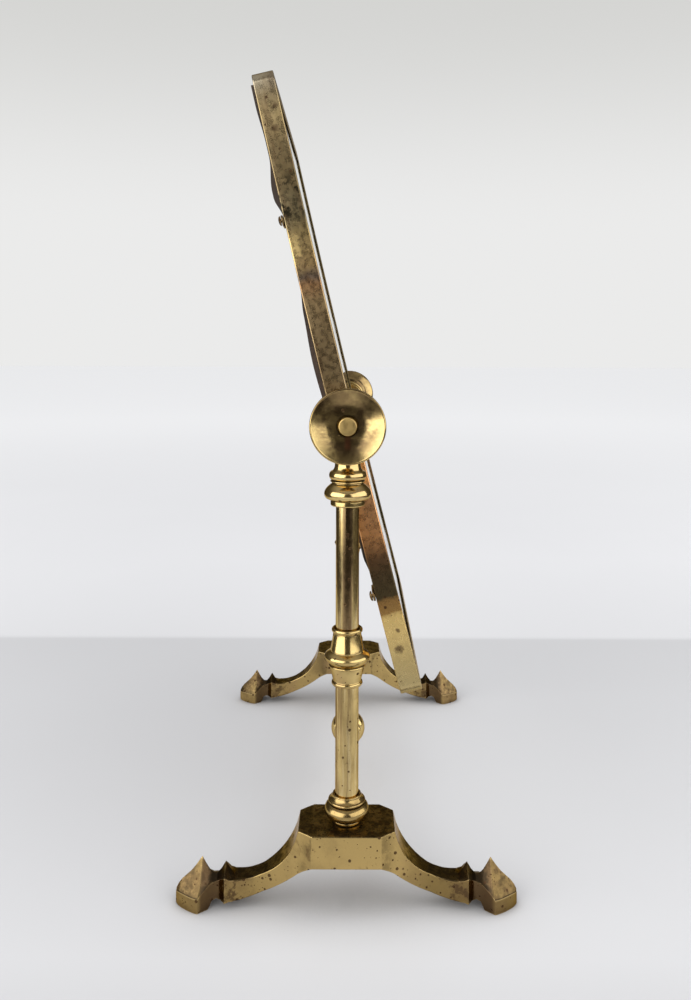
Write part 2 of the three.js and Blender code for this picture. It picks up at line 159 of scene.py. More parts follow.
# ---------------------------------------------------------------- node helpers


def set_input(tree, socket, value):
    """Gives an input a value, or links it to a socket."""
    if isinstance(value, bpy.types.NodeSocket):
        tree.links.new(value, socket)
    else:
        socket.default_value = value


def set_inputs(tree, node, **inputs):
    """The same by name; underscores stand for spaces."""
    for name, value in inputs.items():
        set_input(tree, node.inputs[name.replace("_", " ")], value)


def add(tree, kind, settings=None, **inputs):
    """A new node with its settings and inputs."""
    node = tree.nodes.new(kind)
    for name, value in (settings or {}).items():
        setattr(node, name, value)
    set_inputs(tree, node, **inputs)
    return node


def mix(tree, factor, first, second, blend="MIX"):
    """Two colours mixed."""
    node = add(tree, "ShaderNodeMix", {"data_type": "RGBA", "blend_type": blend})
    for index, value in ((0, factor), (6, first), (7, second)):
        set_input(tree, node.inputs[index], value)
    return node.outputs[2]


def maths(tree, operation, first, second=0.0, clamp=True):
    """A sum or comparison, kept between 0 and 1 unless clamp is off."""
    node = add(tree, "ShaderNodeMath", {"operation": operation, "use_clamp": clamp})
    set_input(tree, node.inputs[0], first)
    set_input(tree, node.inputs[1], second)
    return node.outputs[0]


def times(tree, product, *factors):
    """Several values between 0 and 1 multiplied."""
    for factor in factors:
        product = maths(tree, "MULTIPLY", product, factor)
    return product


def map_range(tree, value, low, high, to_low=0.0, to_high=1.0, curve="SMOOTHSTEP"):
    """A value moved from one range to another, and held at its ends."""
    limits = {"From_Min": low, "From_Max": high, "To_Min": to_low, "To_Max": to_high}
    node = add(tree, "ShaderNodeMapRange", {"interpolation_type": curve}, Value=value, **limits)
    return node.outputs[0]


def step_mm(tree, value, low, high, to_low=0.0, to_high=1.0):
    """A smooth step over a stretch given in millimetres."""
    return map_range(tree, value, low * MM, high * MM, to_low, to_high)


def between(tree, value, rise, fall, peak=1.0):
    """Rises from 0 to peak over one stretch in millimetres and falls back over another."""
    return times(tree, step_mm(tree, value, *rise), step_mm(tree, value, *fall, peak, 0.0))


def object_place(tree):
    return add(tree, "ShaderNodeTexCoord").outputs["Object"]


def parts_of(tree, vector):
    """The X, Y and Z of a vector."""
    return tuple(add(tree, "ShaderNodeSeparateXYZ", Vector=vector).outputs)


def length_of(tree, vector):
    return add(tree, "ShaderNodeVectorMath", {"operation": "LENGTH"}, Vector=vector).outputs["Value"]


def cloud(tree, scale, detail=4.0, roughness=0.55):
    """Fractal noise from about 0.25 to 0.75. A scale for each axis stretches it."""
    place = object_place(tree)
    if isinstance(scale, tuple):
        place = add(tree, "ShaderNodeMapping", Vector=place, Scale=scale).outputs[0]
        scale = 1.0
    inputs = {"Vector": place, "Scale": scale, "Detail": detail, "Roughness": roughness}
    return add(tree, "ShaderNodeTexNoise", **inputs).outputs[0]


def patches(tree, settings, low, high, to_low=0.0, to_high=1.0):
    """Soft patches where noise, with the settings that cloud takes, rises from low to high."""
    return map_range(tree, cloud(tree, *settings), low, high, to_low, to_high)


def ramp(tree, value, low, high, stops):
    """Colours graded between (value, colour) stops, which lie between low and high."""
    share = map_range(tree, value, low, high, curve="LINEAR")
    node = add(tree, "ShaderNodeValToRGB", Fac=share)
    elements = node.color_ramp.elements
    while len(elements) < len(stops):
        elements.new(0.5)
    for element, (stop, colour) in zip(elements, stops):
        element.position = (stop - low) / (high - low)
        element.color = colour
    return node.outputs[0]


def enclosure(tree, reach, inside=False, own=True):
    """1 in the open and less in a hollow, or at an edge if inside, over a reach in millimetres."""
    settings = {"samples": 8, "inside": inside, "only_local": own}
    return add(tree, "ShaderNodeAmbientOcclusion", settings, Distance=reach * MM).outputs["AO"]


def speckles(tree, scale, share, size):
    """1 inside scattered round spots and 0 outside them. Only a share of the cells hold one.

    size is the radius of the largest spots as a share of a cell.
    """
    voronoi = {"Vector": object_place(tree), "Scale": scale}
    cells = add(tree, "ShaderNodeTexVoronoi", {"feature": "F1"}, **voronoi).outputs
    chance, spread, _ = tuple(add(tree, "ShaderNodeSeparateColor", Color=cells["Color"]).outputs)
    radius = map_range(tree, spread, 0.0, 1.0, 0.45 * size, size)
    ragged = times(tree, cloud(tree, scale * 3.1), 0.5 * size)
    inside = maths(tree, "SUBTRACT", maths(tree, "ADD", radius, ragged), cells["Distance"])
    present = maths(tree, "LESS_THAN", chance, share)
    return times(tree, map_range(tree, inside, 0.0, 0.3 * size), present)


def blank_surface(name):
    """An empty material. Returns (material, its node tree, the socket that its shader goes to)."""
    surface = bpy.data.materials.new(name)
    surface.use_nodes = True
    tree = surface.node_tree
    tree.nodes.clear()
    return surface, tree, tree.nodes.new("ShaderNodeOutputMaterial").inputs[0]


def new_surface(name, metallic=0.0, **values):
    """A material with one Principled shader. Returns (material, its node tree, the shader)."""
    surface, tree, output = blank_surface(name)
    shader = add(tree, "ShaderNodeBsdfPrincipled", Metallic=metallic, **values)
    tree.links.new(shader.outputs[0], output)
    return surface, tree, shader


def bump(tree, shader, *layers):
    """Bump from (height, strength, distance in millimetres) layers, one on top of the other."""
    normal = None
    for height, strength, distance in layers:
        node = add(tree, "ShaderNodeBump", Height=height, Strength=strength, Distance=distance * MM)
        if normal is not None:
            tree.links.new(normal, node.inputs["Normal"])
        normal = node.outputs[0]
    tree.links.new(normal, shader.inputs["Normal"])


# ---------------------------------------------------------------- surfaces

POLISHED = ((0.76, 0.565, 0.235, 1), (0.50, 0.36, 0.145, 1))  # bright and tired brass
WEATHERED = ((0.58, 0.41, 0.155, 1), (0.36, 0.25, 0.10, 1))
TARNISHED = ((0.25, 0.165, 0.075, 1), (0.10, 0.066, 0.036, 1))
WORN_EDGE = (0.86, 0.64, 0.28, 1)
# Painted highlight on the frame's side near its back edge.
PAINTED_HIGHLIGHT_BRASS = (0.95, 0.70, 0.30, 1)
PINK_BRASS = (0.46, 0.27, 0.15, 1)
# Painted reflection of a knob's stud, a reddish streak under it.
STUD_REFLECTION_RED = (0.40, 0.15, 0.075, 1)
BROWN_TARNISH = (0.15, 0.085, 0.040, 1)
SPOT_TARNISH = (0.075, 0.040, 0.020, 1)
ROUND_TARNISH = (0.10, 0.055, 0.03, 1)
# Painted reflection of the dark room, a brown stripe on the tubes.
DARK_ROOM_REFLECTION = (0.17, 0.105, 0.055, 1)
DISH_TARNISH = (0.20, 0.130, 0.062, 1)
TOP_PATINA = (0.046, 0.033, 0.020, 1)
# Near-black brown for grime, and for painted shade in hollows and round a knob's stud.
GRIME_AND_SHADE = (0.026, 0.019, 0.012, 1)
REBATE_DARK = (0.018, 0.020, 0.013, 1)
MARK_BLACK = (0.012, 0.014, 0.010, 1)
LEG_BROWN = (0.27, 0.185, 0.065, 1)
ROOT_BROWN = (0.15, 0.105, 0.045, 1)
TOE_BROWN = (0.20, 0.125, 0.055, 1)
RIDGE_BROWN = (0.105, 0.062, 0.030, 1)
NECK_BROWN = (0.115, 0.068, 0.034, 1)
# Painted shade in the hollows of the feet.
TOE_HOLLOW_SHADE = (0.075, 0.046, 0.024, 1)

STREAKS = (  # noise scales across and along, where it starts and ends, strength and tone
    (420, 26, 0.47, 0.60, 0.55, (0.21, 0.125, 0.062, 1)),
    (260, 17, 0.56, 0.68, 0.45, (0.34, 0.29, 0.14, 1)),
    (600, 34, 0.52, 0.64, 0.65, (0.92, 0.72, 0.37, 1)),
)
SIDE_STAINS_AND_REFLECTIONS = (  # millimetres above the pivot, and the tone of the frame's side there: painted reflections of the table top, the dark gap past its edge and the room, over stains
    (-114, (0.50, 0.40, 0.20, 1)),
    (-100, (0.62, 0.47, 0.20, 1)),
    (-88, (0.90, 0.65, 0.25, 1)),
    (-81, (0.95, 0.68, 0.25, 1)),
    (-80, (0.40, 0.215, 0.062, 1)),
    (-75, (0.33, 0.165, 0.048, 1)),
    (-74, (0.020, 0.014, 0.010, 1)),
    (-64, (0.040, 0.022, 0.015, 1)),
    (-57, (0.15, 0.066, 0.036, 1)),
    (-48, (0.88, 0.41, 0.165, 1)),
    (-30, (1.0, 0.52, 0.25, 1)),
    (8, (0.34, 0.24, 0.125, 1)),
    (29, (0.31, 0.215, 0.115, 1)),
    (50, (0.48, 0.33, 0.17, 1)),
    (57, (0.54, 0.29, 0.14, 1)),
    (60, (0.20, 0.15, 0.130, 1)),
    (65, (0.54, 0.36, 0.165, 1)),
    (78, (0.45, 0.33, 0.145, 1)),
    (84, (0.19, 0.155, 0.085, 1)),
    (92, (0.15, 0.125, 0.075, 1)),
    (100, (0.20, 0.145, 0.075, 1)),
    (113, (0.16, 0.115, 0.058, 1)),
    (127, (0.48, 0.36, 0.17, 1)),
    (136, (0.28, 0.22, 0.13, 1)),
    (146, (0.55, 0.51, 0.42, 1)),
)
ROUND_STAINS = ((-95, 1.2, 2.6), (-87.5, 0.0, 1.3), (122, 1.5, 2.6), (131, -0.5, 1.8))  # z, y, radius
HILLS = (  # middle height, roughness of the skyline, its rise, and the tone
    (34, 22, 14, (0.40, 0.29, 0.18, 1)),
    (12, 34, 16, (0.24, 0.165, 0.10, 1)),
    (-14, 13, 9, (0.135, 0.088, 0.050, 1)),
)
FLOOR_PAINTED_SHADE = (  # metres along X, and the grey of the table top there, as painted light and shade
    (-0.40, 0.66),
    (-0.31, 0.42),
    (-0.24, 0.38),
    (-0.18, 0.50),
    (-0.13, 0.60),
    (0.0, 0.595),
    (0.10, 0.585),
    (0.2065, 0.552),
    (0.213, 0.67),
    (0.45, 0.71),
)


def aged_brass(
    name, metal, marks, dullness, stains, spots, roughness, wear=0.45, top_patina=0.0, extra=None
):
    """Old brass with no lacquer left. marks is how fine tool marks run, as a scale for each axis.

    metal is a pair of colours, bright and tired. dullness, stains, spots, wear on the edges and
    top_patina go from 0 to 1. extra is a function that takes the tree and the colour so far, and
    returns a new one.
    """
    surface, tree, shader = new_surface(name, 1.0, Specular_Tint=(0.62, 0.50, 0.34, 1))
    fine = cloud(tree, 420, 5, 0.6)
    start = 0.62 - 0.3 * dullness
    tired = patches(tree, (38, 6, 0.6), start, start + 0.24, 0.25 * dullness)
    colour = mix(tree, tired, *metal)
    colour = mix(tree, patches(tree, (61, 3), 0.52, 0.72, 0.0, 0.35), colour, PINK_BRASS)
    if extra is not None:
        colour = extra(tree, colour)
    stain = patches(tree, (90, 8, 0.68), 0.66 - 0.14 * stains, 0.74, 0.0, 0.85)
    colour = mix(tree, stain, colour, BROWN_TARNISH)

    worn = map_range(tree, enclosure(tree, 0.8, inside=True), 0.5, 0.85, wear, 0.0)
    colour = mix(tree, worn, colour, WORN_EDGE)
    # Darker in the hollows: grime, with painted shade.
    crevice_grime_and_shade = map_range(tree, enclosure(tree, 2.6), 0.35, 0.88, 0.9, 0.0)
    dirt_and_shade = times(tree, crevice_grime_and_shade, map_range(tree, fine, 0.3, 0.6, 0.7))
    colour = mix(tree, dirt_and_shade, colour, GRIME_AND_SHADE)
    if top_patina:
        up = parts_of(tree, add(tree, "ShaderNodeTexCoord").outputs["Normal"])[2]
        patina = map_range(tree, up, 0.28, 0.66, 0.0, top_patina)
        patina = times(tree, patina, patches(tree, (330, 7, 0.72), 0.38, 0.60, 0.42))
        colour = mix(tree, patina, colour, TOP_PATINA)
        dirt_and_shade = maths(tree, "ADD", dirt_and_shade, patina)
    large, small = speckles(tree, 330, spots, 0.22), speckles(tree, 800, 0.6 * spots, 0.18)
    specks = maths(tree, "MAXIMUM", large, small)
    colour = mix(tree, times(tree, specks, 0.9), colour, SPOT_TARNISH)

    dirt_and_shade = maths(tree, "MAXIMUM", maths(tree, "ADD", dirt_and_shade, specks), times(tree, stain, 0.6))
    grain = map_range(tree, fine, 0.3, 0.7, roughness * 0.8, roughness * 1.25)
    rough = maths(tree, "ADD", grain, times(tree, dirt_and_shade, 0.28))
    set_inputs(tree, shader, Base_Color=colour, Roughness=rough)
    bump(
        tree,
        shader,
        (cloud(tree, marks, 3), 0.12, 0.02),
        (fine, 0.05, 0.05),
        (cloud(tree, 120, 2), 0.20, 0.12),
        (maths(tree, "SUBTRACT", 1.0, specks), 0.35, 0.06),
    )
    return surface


def toe_tarnish_and_shade(tree, colour):
    """Browner brass out along the legs, with painted shade in the hollows round the ridges and toes."""
    across, along, _ = parts_of(tree, object_place(tree))
    reach = maths(tree, "ABSOLUTE", along)
    near_leg = step_mm(tree, along, 15, 40, 0.0, 0.4)
    far_leg = step_mm(tree, along, -34, -15, 0.75, 0.0)
    near_foot = step_mm(tree, across, -20, 20, 1.1, 0.0)
    browned = times(tree, maths(tree, "ADD", near_leg, far_leg), near_foot)
    colour = mix(tree, browned, colour, LEG_BROWN)
    root = between(tree, reach, (12.9, 13.3), (14, 20), 0.6)
    outer = step_mm(tree, reach, 32, 46, 0.0, 0.8)
    ridge = between(tree, reach, (33, 43), (48, 52), 0.85)
    for cover, noise_settings, patch_range, tone in (
        (root, (160, 6, 0.66), (0.42, 0.58, 0.2), ROOT_BROWN),
        (outer, (120, 7, 0.66), (0.38, 0.62, 0.35), TOE_BROWN),
        (ridge, (260, 7, 0.7), (0.47, 0.57), RIDGE_BROWN),
    ):
        cover = times(tree, cover, patches(tree, noise_settings, *patch_range))
        colour = mix(tree, cover, colour, tone)
    neck = between(tree, reach, (46.6, 48.2), (54.8, 56.0), 0.85)
    colour = mix(tree, neck, colour, NECK_BROWN)
    # Painted shade: darker in the broad hollows round the ridges and toes.
    painted_hollow_shade = map_range(tree, enclosure(tree, 7), 0.5, 0.96, 0.95, 0.0)
    return mix(tree, painted_hollow_shade, colour, TOE_HOLLOW_SHADE)


def streaked(axis):
    """An extra for aged_brass: brown, olive and pale streaks along one axis of a tube or rod."""

    def add_streaks(tree, colour):
        for across, along, first, last, amount, tone in STREAKS:
            scale = tuple(along if name == axis else across for name in "XYZ")
            cover = patches(tree, (scale, 6, 0.66), first, last, 0.0, amount)
            colour = mix(tree, cover, colour, tone)
        return colour

    return add_streaks


def column_stains_and_reflection(tree, colour):
    """Streaks up the tubes, and a painted reflection of the dark room as a brown stripe up their outer face,
    darker on the upper tube.
    """
    colour = streaked("Z")(tree, colour)
    x, _, z = parts_of(tree, object_place(tree))
    low, high = box_mm("upper_tube_right")
    middle, radius = (low.x + high.x) / 2, (high.x - low.x) / 2
    face = (middle + 0.86 * radius, middle + 0.96 * radius)
    # Painted reflection of the dark room: a brown stripe up the outer face.
    stripe = step_mm(tree, maths(tree, "ABSOLUTE", x), *face)
    rise = step_mm(tree, z, low.z - 15, low.z, 0.1, 0.85)
    return mix(tree, times(tree, stripe, rise), colour, DARK_ROOM_REFLECTION)


def knob_smears_and_painted_light(tree, colour):
    """Brown smears over a knob's dish, thickest half-way out, painted shade round its stud, and a painted
    reflection of the stud as a reddish streak under it.
    """
    low, high = box_mm("clamp_knob_left")
    radius = (high.z - low.z) / 2
    about_pivot = add(tree, "ShaderNodeVectorMath", {"operation": "SUBTRACT"}, Vector=object_place(tree))
    about_pivot.inputs[1].default_value = PIVOT
    _, y, z = parts_of(tree, about_pivot.outputs[0])
    reach = length_of(tree, add(tree, "ShaderNodeCombineXYZ", Y=y, Z=z).outputs[0])
    out = step_mm(tree, reach, 0.62 * radius, 0.95 * radius, 1.0, 0.25)
    smears = patches(tree, ((60, 130, 210), 6, 0.66), 0.34, 0.58, 0.25, 0.95)
    upper = step_mm(tree, z, 0.05 * radius, 0.5 * radius, 0.0, 0.9)
    smudge = patches(tree, (140, 6, 0.66), 0.34, 0.56, 0.6)
    cover = maths(tree, "MAXIMUM", times(tree, out, smears), times(tree, upper, smudge))
    colour = mix(tree, cover, colour, DISH_TARNISH)
    # Painted shade in the gap round the stud.
    colour = mix(tree, step_mm(tree, reach, 4.0, 4.7, 0.95, 0.0), colour, GRIME_AND_SHADE)
    # Painted reflection of the stud: a reddish streak under it.
    streak = step_mm(tree, maths(tree, "ABSOLUTE", y), 0.5, 1.6, 0.7, 0.0)
    streak = times(tree, streak, between(tree, z, (-9.5, -7.5), (-4.6, -3.4)))
    return mix(tree, streak, colour, STUD_REFLECTION_RED)


def side_stains_and_reflections(tree, colour):
    """The zones up the frame's side, painted reflections over stains: tan, black, red, olive and grey, with ragged
    borders.
    """
    low, high = upright_box("frame_rim")
    wander = 6  # millimetres that the borders move at most, so 3 on average
    z = parts_of(tree, object_place(tree))[2]
    ragged = times(tree, cloud(tree, 170, 6, 0.65), wander * MM)
    blurred = maths(tree, "ADD", z, ragged, clamp=False)
    shift = wander / 2
    stops = [((height + shift) * MM, tone) for height, tone in SIDE_STAINS_AND_REFLECTIONS]
    tones = ramp(tree, blurred, (low.z + shift) * MM, (high.z + shift) * MM, stops)
    return mix(tree, 0.9, colour, tones)


def round_stain(tree, colour, z, y, radius):
    """A round brown stain on the frame's side, with a ragged edge."""
    place = object_place(tree)
    spot = add(tree, "ShaderNodeVectorMath", {"operation": "MULTIPLY_ADD"}, Vector=place)
    spot.inputs[1].default_value = (0, 1, 1)
    spot.inputs[2].default_value = (0, -y * MM, -z * MM)
    ragged = times(tree, cloud(tree, 420, 6, 0.7), 2 * radius * MM)
    away = maths(tree, "ADD", length_of(tree, spot.outputs[0]), ragged)
    return mix(tree, step_mm(tree, away, 1.3 * radius, 1.9 * radius, 0.75, 0.0), colour, ROUND_TARNISH)


def banded(tree, colour):
    """Stains and painted reflections along the frame's side, mottling, a painted highlight near the back edge and
    the dark edge by the glass.
    """
    low, high = upright_box("frame_rim")
    x, y, z = parts_of(tree, object_place(tree))
    # Painted reflections over stains, in zones up the side.
    colour = side_stains_and_reflections(tree, colour)
    mottled = step_mm(tree, z, -20, 25, 0.12)
    marked = between(tree, z, (82, 88), (98, 106))
    for scale, detail, first, last, amount, tone, where in (
        ((120, 120, 30), 3, 0.36, 0.70, 0.35, (0.62, 0.47, 0.26, 1), mottled),
        ((320, 320, 36), 5, 0.50, 0.68, 0.50, (0.16, 0.090, 0.045, 1), mottled),
        ((520, 520, 260), 5, 0.66, 0.74, 0.35, GRIME_AND_SHADE, mottled),
        ((190, 190, 130), 7, 0.49, 0.54, 0.88, MARK_BLACK, marked),
    ):
        cover = times(tree, patches(tree, (scale, detail, 0.62), first, last, 0.0, amount), where)
        colour = mix(tree, cover, colour, tone)
    for stain in ROUND_STAINS:
        colour = round_stain(tree, colour, *stain)
    # Painted highlight: brighter brass on the side near its back edge.
    rubbed = times(tree, between(tree, z, (62, 66), (75, 81)), step_mm(tree, y, 2.0, 3.6))
    ragged = patches(tree, (150, 6, 0.7), 0.42, 0.50, 0.0, 0.95)
    colour = mix(tree, times(tree, rubbed, ragged), colour, PAINTED_HIGHLIGHT_BRASS)
    inset = maths(tree, "SUBTRACT", high.x * MM, maths(tree, "ABSOLUTE", x))
    inset = maths(tree, "MINIMUM", inset, maths(tree, "SUBTRACT", high.z * MM, z))
    inset = maths(tree, "MINIMUM", inset, maths(tree, "SUBTRACT", z, low.z * MM))
    return mix(tree, step_mm(tree, inset, 6.45, 6.7, 0.0, 0.93), colour, REBATE_DARK)


def iron():
    """Blackened iron with a little rust."""
    surface, tree, shader = new_surface("dark_iron", 0.85)
    rust = patches(tree, (260, 6, 0.7), 0.5, 0.66, 0.0, 0.8)
    colour = mix(tree, cloud(tree, 700), (0.045, 0.043, 0.042, 1), (0.12, 0.115, 0.11, 1))
    colour = mix(tree, rust, colour, (0.16, 0.06, 0.025, 1))
    rough = map_range(tree, rust, 0.0, 0.8, 0.42, 0.8)
    set_inputs(tree, shader, Base_Color=colour, Roughness=rough)
    bump(tree, shader, (cloud(tree, 900, 4), 0.3, 0.06))
    return surface


def clear_glass():
    """Thin old picture glass with faint smears. It lets light straight through and mirrors a little."""
    surface, tree, output = blank_surface("picture_glass")
    tint = mix(tree, cloud(tree, 30), (0.93, 0.96, 0.94, 1), (0.97, 0.98, 0.97, 1))
    rough = patches(tree, ((18, 18, 60), 5), 0.45, 0.7, 0.02, 0.09)
    edge_on = add(tree, "ShaderNodeFresnel", IOR=1.5)
    through = add(tree, "ShaderNodeBsdfTransparent", Color=tint)
    mirror = add(tree, "ShaderNodeBsdfGlossy", Color=(1, 1, 1, 1), Roughness=rough)
    pane = add(tree, "ShaderNodeMixShader")
    for socket, part in zip(pane.inputs, (edge_on, through, mirror)):
        tree.links.new(part.outputs[0], socket)
    tree.links.new(pane.outputs[0], output)
    return surface


def mount_card():
    """Cream card, browned here and there, with paper fibres and a little foxing."""
    surface, tree, shader = new_surface("mount_card")
    fibres = cloud(tree, (900, 900, 2600), 6, 0.7)
    aged = patches(tree, (16, 5), 0.35, 0.7)
    colour = mix(tree, aged, (0.74, 0.66, 0.48, 1), (0.62, 0.50, 0.32, 1))
    colour = mix(tree, map_range(tree, fibres, 0.3, 0.7, 0.0, 0.25), colour, (0.86, 0.80, 0.66, 1))
    foxing = times(tree, speckles(tree, 150, 0.2, 0.3), 0.5)
    colour = mix(tree, foxing, colour, (0.36, 0.20, 0.09, 1))
    rough = map_range(tree, fibres, 0.3, 0.7, 0.78, 0.95)
    set_inputs(tree, shader, Base_Color=colour, Roughness=rough)
    bump(tree, shader, (fibres, 0.35, 0.05))
    return surface


def landscape_print():
    """A made-up landscape in brown washes: sky, three ranges of hills and a field."""
    surface, tree, shader = new_surface("landscape_print", Roughness=0.72)
    z = parts_of(tree, object_place(tree))[2]
    colour = mix(tree, step_mm(tree, z, 10, 125), (0.78, 0.62, 0.40, 1), (0.44, 0.33, 0.21, 1))
    clouds = patches(tree, ((9, 9, 28), 7, 0.6), 0.5, 0.66, 0.0, 0.7)
    colour = mix(tree, clouds, colour, (0.84, 0.74, 0.56, 1))
    for level, roughness, rise, shade in HILLS:
        skyline = cloud(tree, (roughness, 0, 0), 6, 0.62)
        crest = map_range(tree, skyline, 0.25, 0.75, (level - rise) * MM, (level + rise) * MM)
        depth = maths(tree, "SUBTRACT", crest, z, clamp=False)
        wash = mix(tree, cloud(tree, 260, 6, 0.7), shade, (0.50, 0.38, 0.24, 1))
        colour = mix(tree, step_mm(tree, depth, 0.0, 0.8), colour, mix(tree, 0.35, shade, wash))
    tooth = cloud(tree, 1500, 4, 0.7)
    colour = mix(tree, map_range(tree, tooth, 0.35, 0.65, 0.0, 0.18), colour, (0.70, 0.60, 0.44, 1))
    set_inputs(tree, shader, Base_Color=colour)
    bump(tree, shader, (tooth, 0.2, 0.03))
    return surface


def dark_board():
    """Thin stained board, nearly black, with grain along it and rubbed lighter patches."""
    surface, tree, shader = new_surface("dark_board")
    grain = cloud(tree, (520, 520, 22), 6, 0.65)
    dark_grain = map_range(tree, grain, 0.3, 0.7)
    colour = mix(tree, dark_grain, (0.010, 0.006, 0.004, 1), (0.055, 0.030, 0.017, 1))
    rubbed = patches(tree, (33, 7, 0.7), 0.55, 0.75, 0.0, 0.6)
    colour = mix(tree, rubbed, colour, (0.13, 0.075, 0.042, 1))
    scuffs = patches(tree, ((60, 60, 900), 3), 0.68, 0.76, 0.0, 0.45)
    colour = mix(tree, scuffs, colour, (0.26, 0.17, 0.10, 1))
    rough = map_range(tree, grain, 0.3, 0.7, 0.42, 0.66)
    set_inputs(tree, shader, Base_Color=colour, Roughness=rough)
    bump(tree, shader, (grain, 0.4, 0.12), (scuffs, 0.3, 0.05))
    return surface


def table_paper():
    """The pale floor: matt paper whose painted shade follows how far it lies towards the backdrop, with painted
    light far away and a painted contact shadow round the pieces.
    """
    surface, tree, shader = new_surface("table_paper", Roughness=0.9, Specular_IOR_Level=0.0)
    place = object_place(tree)
    # Painted light and shade, graded along X.
    stops = [(x, (grey, grey, 1.015 * grey, 1)) for x, grey in FLOOR_PAINTED_SHADE]
    colour = ramp(tree, parts_of(tree, place)[0], -0.5, 0.5, stops)
    uneven = mix(tree, cloud(tree, 3, 3), (0.95, 0.95, 0.95, 1), (1.0, 1.0, 1.0, 1))
    colour = mix(tree, 1.0, colour, uneven, "MULTIPLY")
    # Painted light: the paper is lighter further away.
    painted_far_light = map_range(tree, length_of(tree, place), 0.0, 2.3)
    colour = mix(tree, painted_far_light, colour, (0.985, 0.985, 0.985, 1))
    # Painted contact shadow on the paper round what stands on it.
    painted_contact_shadow = map_range(tree, enclosure(tree, 26, own=False), 0.3, 0.95, 0.55, 0.0)
    colour = mix(tree, painted_contact_shadow, colour, (0.12, 0.115, 0.11, 1))
    set_inputs(tree, shader, Base_Color=colour)
    return surface


# ---------------------------------------------------------------- solids


def span_of(points):
    """Lowest and highest corner of some points."""
    return Vector(map(min, *points)), Vector(map(max, *points))


def box_mm(node):
    """Lowest and highest corner of a CAD node in millimetres, in the row frame."""
    low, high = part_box(node)
    return Vector(low) / MM, Vector(high) / MM


def upright_box(node):
    """The same about the pivot, with the tilting frame stood upright."""
    stand_up = LEANING.inverted()
    return span_of([stand_up @ v.co / MM for v in frame["nodes"][node].data.vertices])


def bow(height):
    """How far the tilting frame is bent towards its back at a height above the pivot."""
    middle, reach, depth, sag = 52, 150, 0.75, 1.5
    return depth - sag * ((height - middle) / reach) ** 2


def rounded(outline, radius, steps=3):
    """An outline with its corners rounded by a radius, or by less where a side is short."""
    points = [Vector(p) for p in outline]
    smooth = [points[0]]
    for before, corner, after in zip(points, points[1:], points[2:]):
        back, on = before - corner, after - corner
        if back.length < 1e-6 or on.length < 1e-6 or back.angle(on) > math.radians(164):
            smooth.append(corner)
            continue
        reach = min(radius, 0.45 * back.length, 0.45 * on.length)
        start = corner + back.normalized() * reach
        end = corner + on.normalized() * reach
        for k in range(steps + 1):
            t = k / steps
            smooth.append(start.lerp(corner, t).lerp(corner.lerp(end, t), t))
    return [*smooth, points[-1]]


def bead(inner, outer, bottom, top, steps=12):
    """A half-round bead between two heights."""
    points = []
    for k in range(steps + 1):
        angle = math.pi * k / steps
        height = (bottom + top) / 2 - (top - bottom) / 2 * math.cos(angle)
        points.append((inner + (outer - inner) * math.sin(angle), height))
    return points


def hollow(start, end, depth, steps=8):
    """A stretch that curves inwards between two (radius, height) points."""
    points = []
    for k in range(steps + 1):
        t = k / steps
        radius = start[0] + (end[0] - start[0]) * t - depth * math.sin(math.pi * t)
        points.append((radius, start[1] + (end[1] - start[1]) * t))
    return points


def mirrored(points, length):
    """The same points seen from the other end of a piece."""
    return [(radius, length - height) for radius, height in reversed(points)]


def plug(radius, bottom, top):
    """The outline of a plain round bar."""
    return [(0, bottom), (radius, bottom), (radius, top), (0, top)]


def plain_ring(inner, outer, height):
    """The outline of a plain ring or tube."""
    return [(inner, 0), (outer, 0), (outer, height), (inner, height), (inner, 0)]


def drilled(bm, radius, start, end, centre, axis, steps=48):
    """A solid with a round hole through or into it, between two places along an axis."""
    drill = lathe(plug(radius, start, end), centre, axis, steps=steps)
    return combined(bm, drill, "DIFFERENCE")


def lathe(profile, centre=(0, 0), axis="Z", start=0.0, sign=1, steps=96):
    """A solid of revolution from (radius, height) points that end on the axis or meet.

    centre is where the axis stands in the other two coordinates. Heights run from start, towards
    sign.
    """
    closed = (Vector(profile[0]) - Vector(profile[-1])).length < 1e-6
    rows = profile[:-1] if closed else profile
    bm = bmesh.new()
    rings = []
    for radius, height in rows:
        along = start + sign * height
        ring = []
        for k in range(steps if radius > 1e-6 else 1):
            angle = 2 * math.pi * k / steps
            u = centre[0] + radius * math.cos(angle)
            v = centre[1] + radius * math.sin(angle)
            place = {"X": (along, u, v), "Y": (u, along, v), "Z": (u, v, along)}[axis]
            ring.append(bm.verts.new(place))
        rings.append(ring)
    followers = rings[1:] + rings[:1] if closed else rings[1:]
    for lower, upper in zip(rings, followers):
        for k in range(steps):
            corners = [lower[k % len(lower)], lower[(k + 1) % len(lower)]]
            corners += [upper[(k + 1) % len(upper)], upper[k % len(upper)]]
            unique = list(dict.fromkeys(corners))
            if len(unique) > 2:
                bm.faces.new(unique)
    return bm


def combined(first, second, operation):
    """Two solids as one, by a DIFFERENCE, UNION or INTERSECT."""
    objects = []
    for bm in (first, second):
        bmesh.ops.recalc_face_normals(bm, faces=bm.faces)
        objects.append(object_from(bm, "part"))
    modifier = objects[0].modifiers.new("combine", "BOOLEAN")
    modifier.operation = operation
    modifier.solver = "EXACT"
    modifier.object = objects[1]
    bpy.context.view_layer.update()
    result = bmesh.new()
    result.from_object(objects[0], bpy.context.evaluated_depsgraph_get())
    for item in objects:
        bpy.data.meshes.remove(item.data)
    return result


